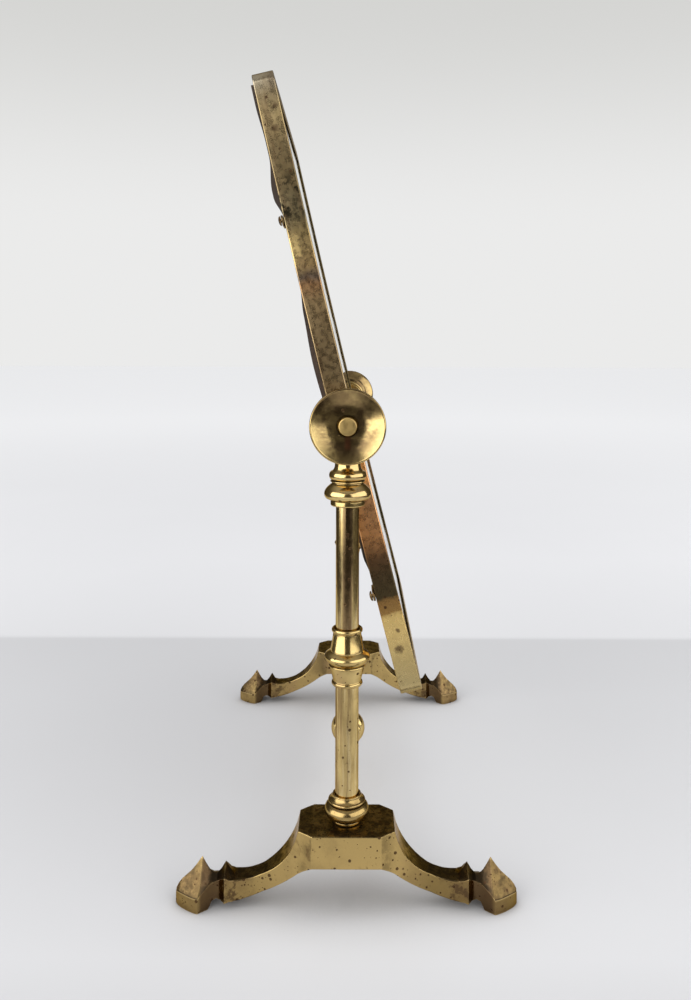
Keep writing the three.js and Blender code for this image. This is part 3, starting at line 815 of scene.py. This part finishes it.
def bevel_edges(bm, width, segments=3, sharper_than=28, where=lambda middle: True):
    """Rounds the edges that turn by more than an angle in degrees, where their middles are."""
    bmesh.ops.recalc_face_normals(bm, faces=bm.faces)
    limit = math.radians(sharper_than)
    edges = []
    for edge in bm.edges:
        middle = (edge.verts[0].co + edge.verts[1].co) / 2
        if len(edge.link_faces) == 2 and edge.calc_face_angle() > limit and where(middle):
            edges.append(edge)
    shape = {"segments": segments, "profile": 0.6, "affect": "EDGES", "clamp_overlap": True}
    bmesh.ops.bevel(bm, geom=edges, offset=width, **shape)


def join_rings(bm, rings):
    """Four-sided faces between each ring of vertices and the next."""
    for first, second in zip(rings, rings[1:]):
        for k in range(len(first)):
            after = (k + 1) % len(first)
            bm.faces.new((first[k], first[after], second[after], second[k]))


def extruded(outline, low, high):
    """A slab from (x, z) points, between two depths along Y."""
    bm = bmesh.new()
    front = [bm.verts.new((x, low, z)) for x, z in outline]
    back = [bm.verts.new((x, high, z)) for x, z in outline]
    bm.faces.new(front)
    bm.faces.new(back[::-1])
    join_rings(bm, [front, back])
    return bm


def finish_piece(bm, node, surface, place=UPRIGHT):
    """Turns a solid in millimetres into the fine piece that stands for a CAD node."""
    bmesh.ops.remove_doubles(bm, verts=bm.verts, dist=1e-5)
    bmesh.ops.recalc_face_normals(bm, faces=bm.faces)
    bmesh.ops.scale(bm, vec=(MM, MM, MM), verts=bm.verts)
    for face in bm.faces:
        face.smooth = True
    for edge in bm.edges:
        if len(edge.link_faces) == 2:
            edge.smooth = edge.calc_face_angle() < SHARP_ANGLE
    piece = object_from(bm, f"{node}_fine")
    piece.data.materials.append(surface)
    piece.matrix_world = place
    even = piece.modifiers.new("even_normals", "WEIGHTED_NORMAL")
    even.keep_sharp = True
    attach(piece, BODY_OF[node])
    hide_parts(node)


# ---------------------------------------------------------------- cast feet

LEG = {"root": 8, "thin": 4, "thin_from": 32, "end": 43, "arch_end": 46.3}
TOE_EDGE = 56.2  # how far out the toe is at its widest


def leg_top(y):
    """Height of the leg's back, an arc that falls from the block and levels out."""
    bend_y, bend_z, radius = 43, 36, 25.2
    return bend_z - math.sqrt(radius**2 - (y - bend_y) ** 2)


def leg_underside(y, block_bottom):
    """Height of the arch under the leg, no higher than the block's own underside."""
    low, rise, reach, power = 2.6, 14.5, 30.1, 1.82
    return min(block_bottom, low + rise * ((LEG["arch_end"] - y) / reach) ** power)


def leg_half_width(y):
    """The leg narrows from its root and flares a little towards the ridge."""
    root_end, flare = 18, 0.5
    taper = min(max((y - root_end) / (LEG["thin_from"] - root_end), 0), 1)
    narrowing = (LEG["thin"] - LEG["root"]) * taper
    return LEG["root"] + narrowing + flare * smooth_step(37, LEG["end"], y)


def foot_sections(top, bottom, half_width, tip):
    """Sections of half a foot: [reach, half width, underside, shoulder, crest]."""
    sections = [
        [0, half_width, bottom, top, top],
        [13, half_width, bottom, top, top],
        [16, 9.6, leg_underside(16, bottom), top, top],
    ]
    steps = 20
    start = 18.2
    for k in range(steps + 1):
        y = start + (LEG["end"] - start) * k / steps
        crest = leg_top(y)
        sections.append([y, leg_half_width(y), leg_underside(y, bottom), crest, crest])
    ridge = [
        [44.8, 4.95, 2.8, 11.0, 13.2],
        [46.4, 5.6, 2.5, 12.0, 15.9],
        [48.0, 4.0, 3.1, 10.8, 13.2],
        [49.6, 3.5, 3.4, 10.0, 11.3],
    ]
    toe = [
        [51.2, 3.9, 2.8, 9.7, 11.4],
        [52.6, 5.0, 0, 8.7, 12.8],
        [54.1, 6.2, 0, 7.4, 15.2],
        [55.5, 7.3, 0, 6.2, 17.8],
        [TOE_EDGE, 7.9, 0, 5.6, 16.7],
        [57.7, 7.3, 0, 5.6, 14.6],
        [59.5, 6.3, 0, 5.6, 12.4],
        [61.4, 5.0, 0, 5.6, 10.7],
        [63.2, 3.6, 0, 5.5, 9.1],
        [64.6, 2.3, 0.2, 5.3, 7.4],
        [tip, 1.1, 0.5, 5.0, 5.6],
    ]
    return [*sections, *ridge, *toe]


def foot_corners(reach, wide, under, shoulder, crest):
    """A section's seven corners, with a groove between box and pyramid on the toe's outer faces."""
    if reach >= TOE_EDGE:
        inner, low = max(wide - 0.5, 0.2), shoulder - 0.35
    else:
        inner, low = 0.75 * wide, shoulder + 0.25 * (crest - shoulder)
    right = [(wide, under), (wide, shoulder), (inner, low)]
    left = [(-x, z) for x, z in reversed(right)]
    return [*right, (0, crest), *left]


def cast_foot(side, surface):
    """One casting: the block, two arched legs, and a pointed ridge and toe on each."""
    node = f"foot_casting_{side}"
    low, high = box_mm(node)
    centre_x = (low.x + high.x) / 2
    nut_low, nut_high = box_mm(f"tie_nut_{side}")
    room = 0.6  # round the nut, and below it
    bottom = nut_low.z - room
    half = foot_sections(high.z, bottom, (high.x - low.x) / 2, high.y)
    sections = [[-y, *rest] for y, *rest in half[:0:-1]] + half
    bm = bmesh.new()
    rings = []
    for y, *section in sections:
        corners = foot_corners(abs(y), *section)
        rings.append([bm.verts.new((centre_x + x, y, z)) for x, z in corners])
    join_rings(bm, rings)
    bm.faces.new(rings[0])
    bm.faces.new(rings[-1])
    bevel_edges(bm, 0.45, where=lambda middle: abs(middle.y) < LEG["end"])
    bevel_edges(bm, 0.14, 2, where=lambda middle: abs(middle.y) > LEG["end"] + 0.5)
    recess = drilled(
        bm,
        (nut_high.x - nut_low.x) / 2 + room,
        bottom - 2,
        nut_high.z + GAP,
        (centre_x, 0),
        "Z",
        96,
    )
    finish_piece(recess, node, surface)


# ---------------------------------------------------------------- columns

BORE = 4.52  # inside of a collar, on the tube


def base_collar_profile(height):
    """Flange, neck, broad bead, thin ring and a cone up to the tube."""
    outline = [(BORE, 0), (5.6, 0), (5.6, 0.8), (4.9, 1.3), (5.2, 1.6)]
    outline += bead(6.2, 8.5, 1.7, 7.1, 18)
    outline += bead(6.5, 7.15, 7.3, 8.5, 8)
    outline += hollow((6.4, 8.6), (5.5, height - 0.2), 0.25, 5)
    outline += [(5.2, height), (4.7, height - 0.1), (BORE, height - 1.2), (BORE, 0)]
    return rounded(outline, 0.25)


def middle_collar_profile(height):
    """Bottom ring, cup, thin ring, sharp-edged band and a sleeve that tapers to a lip."""
    outline = [(BORE, 0), (5.7, 0)]
    outline += bead(5.6, 6.0, 0.1, 1.5, 8)
    outline += [(5.45, 1.7)]
    outline += [(5.7, 2.9), (6.05, 4.2), (6.35, 5.4), (6.55, 6.4), (6.6, 7.0)]
    outline += bead(6.65, 7.1, 7.1, 7.9, 8)
    outline += [(6.8, 8.1), (7.6, 8.8), (8.35, 9.7), (8.8, 10.7), (8.8, 11.1)]
    outline += [(8.4, 11.8), (7.6, 12.4), (6.7, 12.8), (6.4, 13.1)]
    outline += hollow((6.45, 13.3), (5.4, height - 1.8), 0.08, 8)
    outline += bead(5.4, 6.0, height - 1.6, height, 10)
    outline += [(5.2, height - 0.1), (4.75, height - 0.5), (BORE, height - 1.6), (BORE, 0)]
    return rounded(outline, 0.22)


def head_profile(neck, eye_bottom, close):
    """Ring, dome, thin disc, bead and a neck that flares into the eye."""
    outline = [(BORE, 0), (6.3, 0), (6.6, 0.35), (6.6, 1.9), (6.35, 2.2), (7.3, 2.4)]
    outline += [(8.4, 2.9), (8.95, 3.7), (9.1, 4.6), (8.95, 5.5), (8.5, 6.4), (7.7, 7.3), (6.9, 8.0)]
    outline += [(6.2, 8.5), (5.95, 9.0), (6.6, 9.15), (6.75, 9.4), (6.6, 9.65), (6.0, 9.8)]
    outline += bead(5.9, 7.2, 9.9, 13.4, 16)
    outline += hollow((5.7, 13.6), (5.0, neck), 0.15, 5)
    outline += hollow((5.0, neck + 0.2), (5.6, eye_bottom + 1.5), 0.45, 8)
    outline += [(0, close), (0, 10), (BORE, 3), (BORE, 0)]
    return rounded(outline, 0.18)


def turned_collar(node, profile_of, side, surface):
    """A collar on a column, from the function that gives its profile at its height."""
    low, high = box_mm(node)
    collar = lathe(profile_of(high.z - low.z), axis_of(side), "Z", low.z)
    finish_piece(collar, node, surface)


def drawn_tube(side, level, surface):
    """A tube with softened ends."""
    node = f"{level}_tube_{side}"
    low, high = box_mm(node)
    radius = (high.x - low.x) / 2
    wall = 1
    outline = plain_ring(radius - wall, radius, high.z - low.z)
    bm = lathe(rounded(outline, 0.25), axis_of(side), "Z", low.z, steps=112)
    finish_piece(bm, node, surface)


def axis_of(side):
    """Where a column's axis stands, as (x, y)."""
    low, high = box_mm(f"lower_tube_{side}")
    return (low.x + high.x) / 2, (low.y + high.y) / 2


def column_head(side, surface):
    """The turned top of a column, with the eye that the pivot stud passes through."""
    node = f"column_head_{side}"
    low, high = box_mm(node)
    pivot_z = PIVOT.z / MM
    eye_radius = high.z - pivot_z
    dome_overhang = 3.1  # how much further out the dome reaches than the eye
    eye_half = (high.x - low.x) / 2 - dome_overhang
    stud_hole, cut_past = 3.8, 2
    centre_x, centre_y = axis_of(side)
    profile = head_profile(15.3, pivot_z - eye_radius - low.z, pivot_z - low.z - 4)
    stem = lathe(profile, (centre_x, centre_y), "Z", low.z)
    outline = rounded(plug(eye_radius, -eye_half, eye_half), 1.0, 4)
    eye = lathe(outline, (centre_y, pivot_z), "X", centre_x)
    head = combined(stem, eye, "UNION")
    over = eye_half + cut_past
    head = drilled(head, stud_hole, centre_x - over, centre_x + over, (centre_y, pivot_z), "X")
    finish_piece(head, node, surface)


def tie_rod(side, surface):
    """Iron rod inside the column, with thread rings at its lower end."""
    node = f"tie_rod_{side}"
    low, high = box_mm(node)
    radius = (high.x - low.x) / 2
    length = high.z - low.z
    pitch, turns, lead, chamfer = 0.7, 9, 0.5, 0.4
    root = radius - 0.22
    outline = [(0, 0), (radius - lead, 0), (root, 0.35)]
    for turn in range(turns):
        outline += [(radius, lead + turn * pitch), (root, lead + (turn + 0.5) * pitch)]
    outline += [(radius, lead + turns * pitch), (radius, length - chamfer)]
    outline += [(radius - chamfer, length), (0, length)]
    finish_piece(lathe(outline, axis_of(side), "Z", low.z, steps=40), node, surface)


def tie_nut(side, surface):
    """Hexagon nut with chamfered corners."""
    node = f"tie_nut_{side}"
    low, high = box_mm(node)
    radius = (high.x - low.x) / 2
    height = high.z - low.z
    bore, chamfer, past = 2.15, 0.75, 0.1
    blank = lathe(plain_ring(bore, radius, height), axis_of(side), "Z", low.z, steps=6)
    wide, over = radius + past, height + 1
    cone = [(0, -past), (radius - chamfer, -past), (wide, chamfer), (wide, over), (0, over)]
    form = lathe(cone, axis_of(side), "Z", low.z, steps=72)
    finish_piece(combined(blank, form, "INTERSECT"), node, surface)


# ---------------------------------------------------------------- stretcher


def stretcher(rod_surface, turned_surface):
    """The rod between the feet, with its turned knop and a collar at each foot."""
    low, high = box_mm("stretcher_rod")
    centre = ((low.y + high.y) / 2, (low.z + high.z) / 2)
    radius = (high.z - low.z) / 2
    outline = rounded(plug(radius, low.x, high.x), 0.4)
    rod = lathe(outline, centre, "X", steps=72)
    finish_piece(rod, "stretcher_rod", rod_surface)

    low, high = box_mm("stretcher_knop")
    half = (high.x - low.x) / 2
    bore = radius + 0.02
    end = [(bore, 0), (5.2, 0), (5.6, 0.5), (5.5, 1.5), (5.0, 2.2), *bead(5.2, 6.6, 2.4, 5.6, 10)]
    ball = bead(5.6, 8.2, half - 4.6, half + 4.6, 22)
    outline = [*end, *ball, *mirrored(end, 2 * half), (bore, 0)]
    knop = lathe(rounded(outline, 0.2), centre, "X", low.x)
    finish_piece(knop, "stretcher_knop", turned_surface)

    for side in SIDES:
        low, high = box_mm(f"stretcher_collar_{side}")
        length = high.x - low.x
        end = [(bore, 0), (5.2, 0), (5.3, 0.5)]
        middle = bead(5.4, 6.6, 0.6, length - 0.6, 14)
        outline = [*end, *middle, *mirrored(end, length), (bore, 0)]
        collar = lathe(rounded(outline, 0.15), centre, "X", low.x)
        finish_piece(collar, f"stretcher_collar_{side}", turned_surface)


# ---------------------------------------------------------------- tilting frame


def rim_ring(inset, low, high, corner, steps):
    """Points round the frame at an inset from its outline, equally many at every inset."""
    short, long = 12, 40  # lengths that a straight side is split into
    radius = max(corner - inset, 0.35)
    x, z_low, z_high = high.x - inset, low.z + inset, high.z - inset
    corners = [(x, z_high, 0), (-x, z_high, 90), (-x, z_low, 180), (x, z_low, 270)]
    arcs = []
    for cx, cz, turn in corners:
        middle = (cx - math.copysign(radius, cx), cz - (radius if cz == z_high else -radius))
        for k in range(steps + 1):
            angle = math.radians(turn + 90 * k / steps)
            arcs.append((middle[0] + radius * math.cos(angle), middle[1] + radius * math.sin(angle)))
    ring = []
    splits = {steps: short, 2 * steps + 1: long, 3 * steps + 2: short, 4 * steps + 3: long}
    for index, point in enumerate(arcs):
        ring.append(point)
        following = arcs[(index + 1) % len(arcs)]
        for k in range(1, splits.get(index, 1)):
            t = k / splits[index]
            x = point[0] + (following[0] - point[0]) * t
            z = point[1] + (following[1] - point[1]) * t
            ring.append((x, z))
    return ring


def swept_ring(section, low, high, corner, steps):
    """A ring round the frame from (inset, depth) points, bent with the frame."""
    bm = bmesh.new()
    rings = []
    for inset, depth in section:
        ring = rim_ring(inset, low, high, corner, steps)
        rings.append([bm.verts.new((x, depth + bow(z), z)) for x, z in ring])
    join_rings(bm, [*rings, rings[0]])
    return bm


def frame_rim(surface):
    """The brass frame: a flat side, a moulded face and a rebate for glass and board."""
    low, high = upright_box("frame_rim")
    wall, lip, corner, seam = 3.8, 6.8, 5, 1.4
    front, back = low.y, high.y
    rebate = upright_box("glass_pane")[0].y - GAP
    outline = [(seam, back), (0, back), (0, front), (4.4, front), (4.7, front + 0.2)]
    outline += [(5.0, front + 0.2), (5.2, front + 0.08), (5.8, front), (6.4, front + 0.08)]
    outline += [(lip, front + 0.25), (lip, rebate), (wall, rebate), (wall, back), (seam, back)]
    bm = swept_ring(rounded(outline, 0.5)[:-1], low, high, corner, 8)
    finish_piece(bm, "frame_rim", surface, LEANING)


def sheet_grid(low, high, columns, rows, back_of):
    """A thin sheet with a flat front that follows the frame's bow and a shaped back."""
    bm = bmesh.new()
    layers = []
    for depth_of in (lambda x, z: low.y, back_of):
        grid = []
        for j in range(rows + 1):
            z = low.z + (high.z - low.z) * j / rows
            xs = [low.x + (high.x - low.x) * i / columns for i in range(columns + 1)]
            grid.append([bm.verts.new((x, depth_of(x, z) + bow(z), z)) for x in xs])
        layers.append(grid)
    for grid in layers:
        for j in range(rows):
            for i in range(columns):
                bm.faces.new((grid[j][i], grid[j][i + 1], grid[j + 1][i + 1], grid[j + 1][i]))
    front, back = layers
    loop = [(0, i) for i in range(columns)] + [(j, columns) for j in range(rows)]
    loop += [(rows, i) for i in range(columns, 0, -1)] + [(j, 0) for j in range(rows, 0, -1)]
    for (j, i), (q, p) in zip(loop, loop[1:] + loop[:1]):
        bm.faces.new((front[j][i], front[q][p], back[q][p], back[j][i]))
    return bm


def glass_pane(surface):
    """The pane, with its edges ground a little."""
    low, high = upright_box("glass_pane")
    bm = sheet_grid(low, high, 2, 24, lambda x, z: high.y)
    bevel_edges(bm, 0.2, 2, 60)
    finish_piece(bm, "glass_pane", surface, LEANING)


def card_mount(surface):
    """Card with a window cut at a slant."""
    low, high = upright_box("card_mount")
    border, slant, corner = 18.2, 0.8, 0.5
    section = [(0, low.y), (border - slant, low.y), (border, high.y), (0, high.y)]
    bm = swept_ring(section, low, high, corner, 2)
    finish_piece(bm, "card_mount", surface, LEANING)


def picture_print(surface):
    """The print, cockled a little with age."""
    low, high = upright_box("picture_print")
    thickness = high.y - low.y

    def cockled(x, z):
        return low.y + thickness * (0.7 + 0.3 * noise.noise(Vector((x / 30, 0, z / 30))))

    bm = sheet_grid(low, high, 24, 40, cockled)
    finish_piece(bm, "picture_print", surface, LEANING)


def smooth_step(low, high, value):
    """0 below low, 1 above high, and a soft rise between them."""
    t = min(max((value - low) / (high - low), 0), 1)
    return t * t * (3 - 2 * t)


def board_swell(z):
    """How far the warped board stands out behind the frame at a height above the pivot."""
    top_curl = 0.8 * smooth_step(118, 134, z)
    top_third = 0.4 * smooth_step(88, 92, z)
    blister = 2 * smooth_step(87.5, 95, z) * (1 - smooth_step(98, 112, z))
    middle = 1.2 * smooth_step(-64, -56, z) * (1 - smooth_step(46, 58, z))
    belly = 1.1 * smooth_step(-5, 25, z) * (1 - smooth_step(25, 50, z))
    return top_curl + top_third + blister + middle + belly


def backing_board(surface):
    """The dark board, warped more at its long edges than in the middle."""
    low, high = upright_box("backing_board")
    flush = upright_box("frame_rim")[1].y

    def warped(x, z):
        ripple = 0.06 * noise.noise(Vector((x / 22, 3.7, z / 40)))
        edge = 0.72 + 0.28 * (x / high.x) ** 2
        return flush + board_swell(z) * edge * (0.97 + ripple)

    bm = sheet_grid(low, high, 44, 150, warped)
    finish_piece(bm, "backing_board", surface, LEANING)


SCREW_SHANK, SCREW_HOLE = 0.75, 0.85  # radii
SLOT_TURNS = {1: 18, 2: 74, 3: -33, 4: 8}  # degrees


def turn_button(number, surface):
    """Oblong plate that swings over the board, with a hole that its screw passes through."""
    node = f"turn_button_{number}"
    low, high = upright_box(node)
    centre = upright_box(f"button_screw_{number}")
    screw_x, screw_z = (centre[0].x + centre[1].x) / 2, (centre[0].z + centre[1].z) / 2
    radius = (high.z - low.z) / 2
    tip_x = low.x + radius if screw_x > 0 else high.x - radius
    outward = math.copysign(1, screw_x)
    steps = 14
    outline = []
    for middle, facing in ((screw_x, outward), (tip_x, -outward)):
        for k in range(steps + 1):
            angle = math.pi * (k / steps - 0.5)
            x = middle + facing * radius * math.cos(angle)
            outline.append((x, screw_z + facing * radius * math.sin(angle)))
    offset = bow(screw_z)
    front, back = low.y + offset, high.y + offset
    bm = extruded(outline, front, back)
    bevel_edges(bm, 0.22, 3, 60)
    bm = drilled(bm, SCREW_HOLE, front - 1, back + 1, (screw_x, screw_z), "Y")
    finish_piece(bm, node, surface, LEANING)


def slot_cutter(centre, size, turn):
    """A box for cutting a screwdriver slot, turned about the screw's axis."""
    bm = bmesh.new()
    bmesh.ops.create_cube(bm, size=1)
    bmesh.ops.scale(bm, vec=size, verts=bm.verts)
    bmesh.ops.rotate(bm, matrix=Matrix.Rotation(math.radians(turn), 3, "Y"), verts=bm.verts)
    bmesh.ops.translate(bm, vec=centre, verts=bm.verts)
    return bm


def button_screw(number, surface):
    """Round-headed brass screw with a slot."""
    node = f"button_screw_{number}"
    low, high = upright_box(node)
    x, z = (low.x + high.x) / 2, (low.z + high.z) / 2
    head = (high.x - low.x) / 2
    length = high.y - low.y
    dome, edge, steps = 0.8, 0.2, 8
    seat = length - dome - edge
    outline = [(0, 0), (SCREW_SHANK * 0.5, 0.1), (SCREW_SHANK, 0.9), (SCREW_SHANK, seat)]
    outline += [(head, seat), (head, seat + edge)]
    for k in range(1, steps):
        angle = math.pi / 2 * k / steps
        outline.append((head * math.cos(angle), seat + edge + dome * math.sin(angle)))
    outline.append((0, length))
    offset = bow(z)
    bm = lathe(outline, (x, z), "Y", low.y + offset, steps=48)
    slot_depth, slot_width = 0.35, 0.4
    size = (2 * head + 1, 2 * slot_depth, slot_width)
    slot = slot_cutter((x, high.y + offset, z), size, SLOT_TURNS[number])
    finish_piece(combined(bm, slot, "DIFFERENCE"), node, surface, LEANING)


def pivot_parts(side, boss_surface, stud_surface):
    """The spacer boss on the frame's side, and the stud that turns in the column's eye."""
    sign = SIDES[side]
    node = f"pivot_boss_{side}"
    low, high = upright_box(node)
    start = min(abs(low.x), abs(high.x))
    length = high.x - low.x
    bore = 3.52
    outline = [(bore, 0), (7.4, 0), (7.4, 1.6), (6.6, 2.0)]
    outline += hollow((6.2, 2.3), (5.9, length - 2.3), 0.3, 8)
    outline += [(6.5, length - 1.9), (6.8, length - 1.6), (6.8, length), (bore, length), (bore, 0)]
    boss = lathe(rounded(outline, 0.35), (0, 0), "X", sign * start, sign)
    finish_piece(boss, node, boss_surface, LEANING)

    node = f"pivot_stud_{side}"
    low, high = upright_box(node)
    inner, outer = sorted((abs(low.x), abs(high.x)))
    length = outer - inner
    radius = (high.z - low.z) / 2
    tenon = 1.4  # radius of the end that is fixed in the rim
    shoulder = upright_box("frame_rim")[1].x - inner + GAP
    outline = [(0, 0), (tenon, 0), (tenon, shoulder), *plug(radius, shoulder, length)[1:]]
    stud = lathe(rounded(outline, 0.5), (0, 0), "X", sign * inner, sign, 72)
    finish_piece(stud, node, stud_surface, LEANING)


def clamp_knob(side, surface):
    """Dished round nut with a thin rolled rim and a countersink round the stud."""
    node = f"clamp_knob_{side}"
    low, high = box_mm(node)
    sign = SIDES[side]
    start = min(abs(low.x), abs(high.x))
    thickness = high.x - low.x
    radius = (high.z - low.z) / 2
    bore, hole, dish_edge, steepest = 3.75, 3.95, radius - 0.7, 0.255
    outline = [(bore, 0), (7.6, 0), (7.6, 1.1), (9.6, 1.5), (10.3, 2.5), (12.6, 3.6)]
    outline += [(13.6, thickness - 2.1), (radius, thickness - 1.2), (radius, thickness - 0.4)]
    outline += [(radius - 0.3, thickness), (dish_edge + 0.05, thickness)]
    steps, dish_height = 26, thickness - 0.1
    for k in range(steps + 1):
        r = dish_edge + (hole - dish_edge) * k / steps
        outline.append((r, dish_height))
        dish_height -= steepest * smooth_step(3.4, 9.8, r) * (dish_edge - hole) / steps
    outline += [(bore, dish_height - 0.15), (bore, 0)]
    centre = (0, PIVOT.z / MM)
    bm = lathe(rounded(outline, 0.3), centre, "X", sign * start, sign, 144)
    finish_piece(bm, node, surface)


# ---------------------------------------------------------------- whole object


RINGS_ABOUT_Z, RINGS_ABOUT_X = (60, 60, 2400), (2400, 60, 60)  # tool marks
DRAWN_ALONG_Z, DRAWN_ALONG_X = (1700, 1700, 30), (30, 1700, 1700)
FILED_SIDE, GRAINY = (60, 60, 900), (500, 500, 500)
BRASSES = {  # metal, tool marks, dullness, stains, spots, roughness, and what else is set
    "cast": (WEATHERED, GRAINY, 0.5, 0.5, 0.9, 0.15, {"top_patina": 0.97, "extra": toe_tarnish_and_shade}),
    "turned": (POLISHED, RINGS_ABOUT_Z, 0.45, 0.4, 0.2, 0.15, {}),
    "sleeve": (POLISHED, RINGS_ABOUT_Z, 0.8, 0.7, 0.4, 0.17, {}),
    "collar": (WEATHERED, RINGS_ABOUT_Z, 1.0, 1.0, 0.5, 0.20, {}),
    "tube": (POLISHED, DRAWN_ALONG_Z, 0.6, 0.5, 0.2, 0.15, {"extra": column_stains_and_reflection}),
    "rod": (POLISHED, DRAWN_ALONG_X, 0.7, 0.6, 0.2, 0.15, {"extra": streaked("X")}),
    "pivot": (POLISHED, RINGS_ABOUT_X, 0.4, 0.3, 0.2, 0.17, {}),
    "knob": (POLISHED, RINGS_ABOUT_X, 0.2, 0.1, 0.05, 0.17, {"extra": knob_smears_and_painted_light}),
    "stud": (WEATHERED, GRAINY, 0.7, 0.7, 0.15, 0.40, {}),
    "rim": (POLISHED, FILED_SIDE, 0.2, 0.3, 0.2, 0.28, {"wear": 0.2, "extra": banded}),
    "button": (TARNISHED, GRAINY, 0.5, 0.9, 0.5, 0.34, {"wear": 0.1}),
    "screw": (TARNISHED, GRAINY, 0.7, 1.0, 0.5, 0.36, {"wear": 0.05}),
}


def build():
    """Makes every surface, and then every piece with its surface."""
    brass = {}
    for kind, (*values, others) in BRASSES.items():
        brass[kind] = aged_brass(f"{kind}_brass", *values, **others)
    black_iron = iron()

    for side in SIDES:
        cast_foot(side, brass["cast"])
        turned_collar(f"base_collar_{side}", base_collar_profile, side, brass["collar"])
        turned_collar(f"middle_collar_{side}", middle_collar_profile, side, brass["sleeve"])
        drawn_tube(side, "lower", brass["tube"])
        drawn_tube(side, "upper", brass["tube"])
        column_head(side, brass["turned"])
        tie_rod(side, black_iron)
        tie_nut(side, black_iron)
        pivot_parts(side, brass["pivot"], brass["stud"])
        clamp_knob(side, brass["knob"])
    stretcher(brass["rod"], brass["turned"])
    frame_rim(brass["rim"])
    glass_pane(clear_glass())
    card_mount(mount_card())
    picture_print(landscape_print())
    backing_board(dark_board())
    for number in (1, 2, 3, 4):
        turn_button(number, brass["button"])
        button_screw(number, brass["screw"])


add_camera()
add_world()
add_softbox("window_left", azimuth=-50, width=1.45, height=1.05, middle=0.42, power=12.0)
add_softbox("window_right", azimuth=61, width=1.90, height=1.00, middle=0.50, power=10.5)
paper = table_paper()
wide = 8.0  # metres, past what the camera sees
add_floor("floor", -0.45, 0.60, 0.36, 0.0, paper, mirrored=True)
add_floor("floor_around", -wide, wide, wide, -0.3 * MM, paper, mirrored=False)
bpy.context.scene.view_settings.view_transform = "Standard"
build()
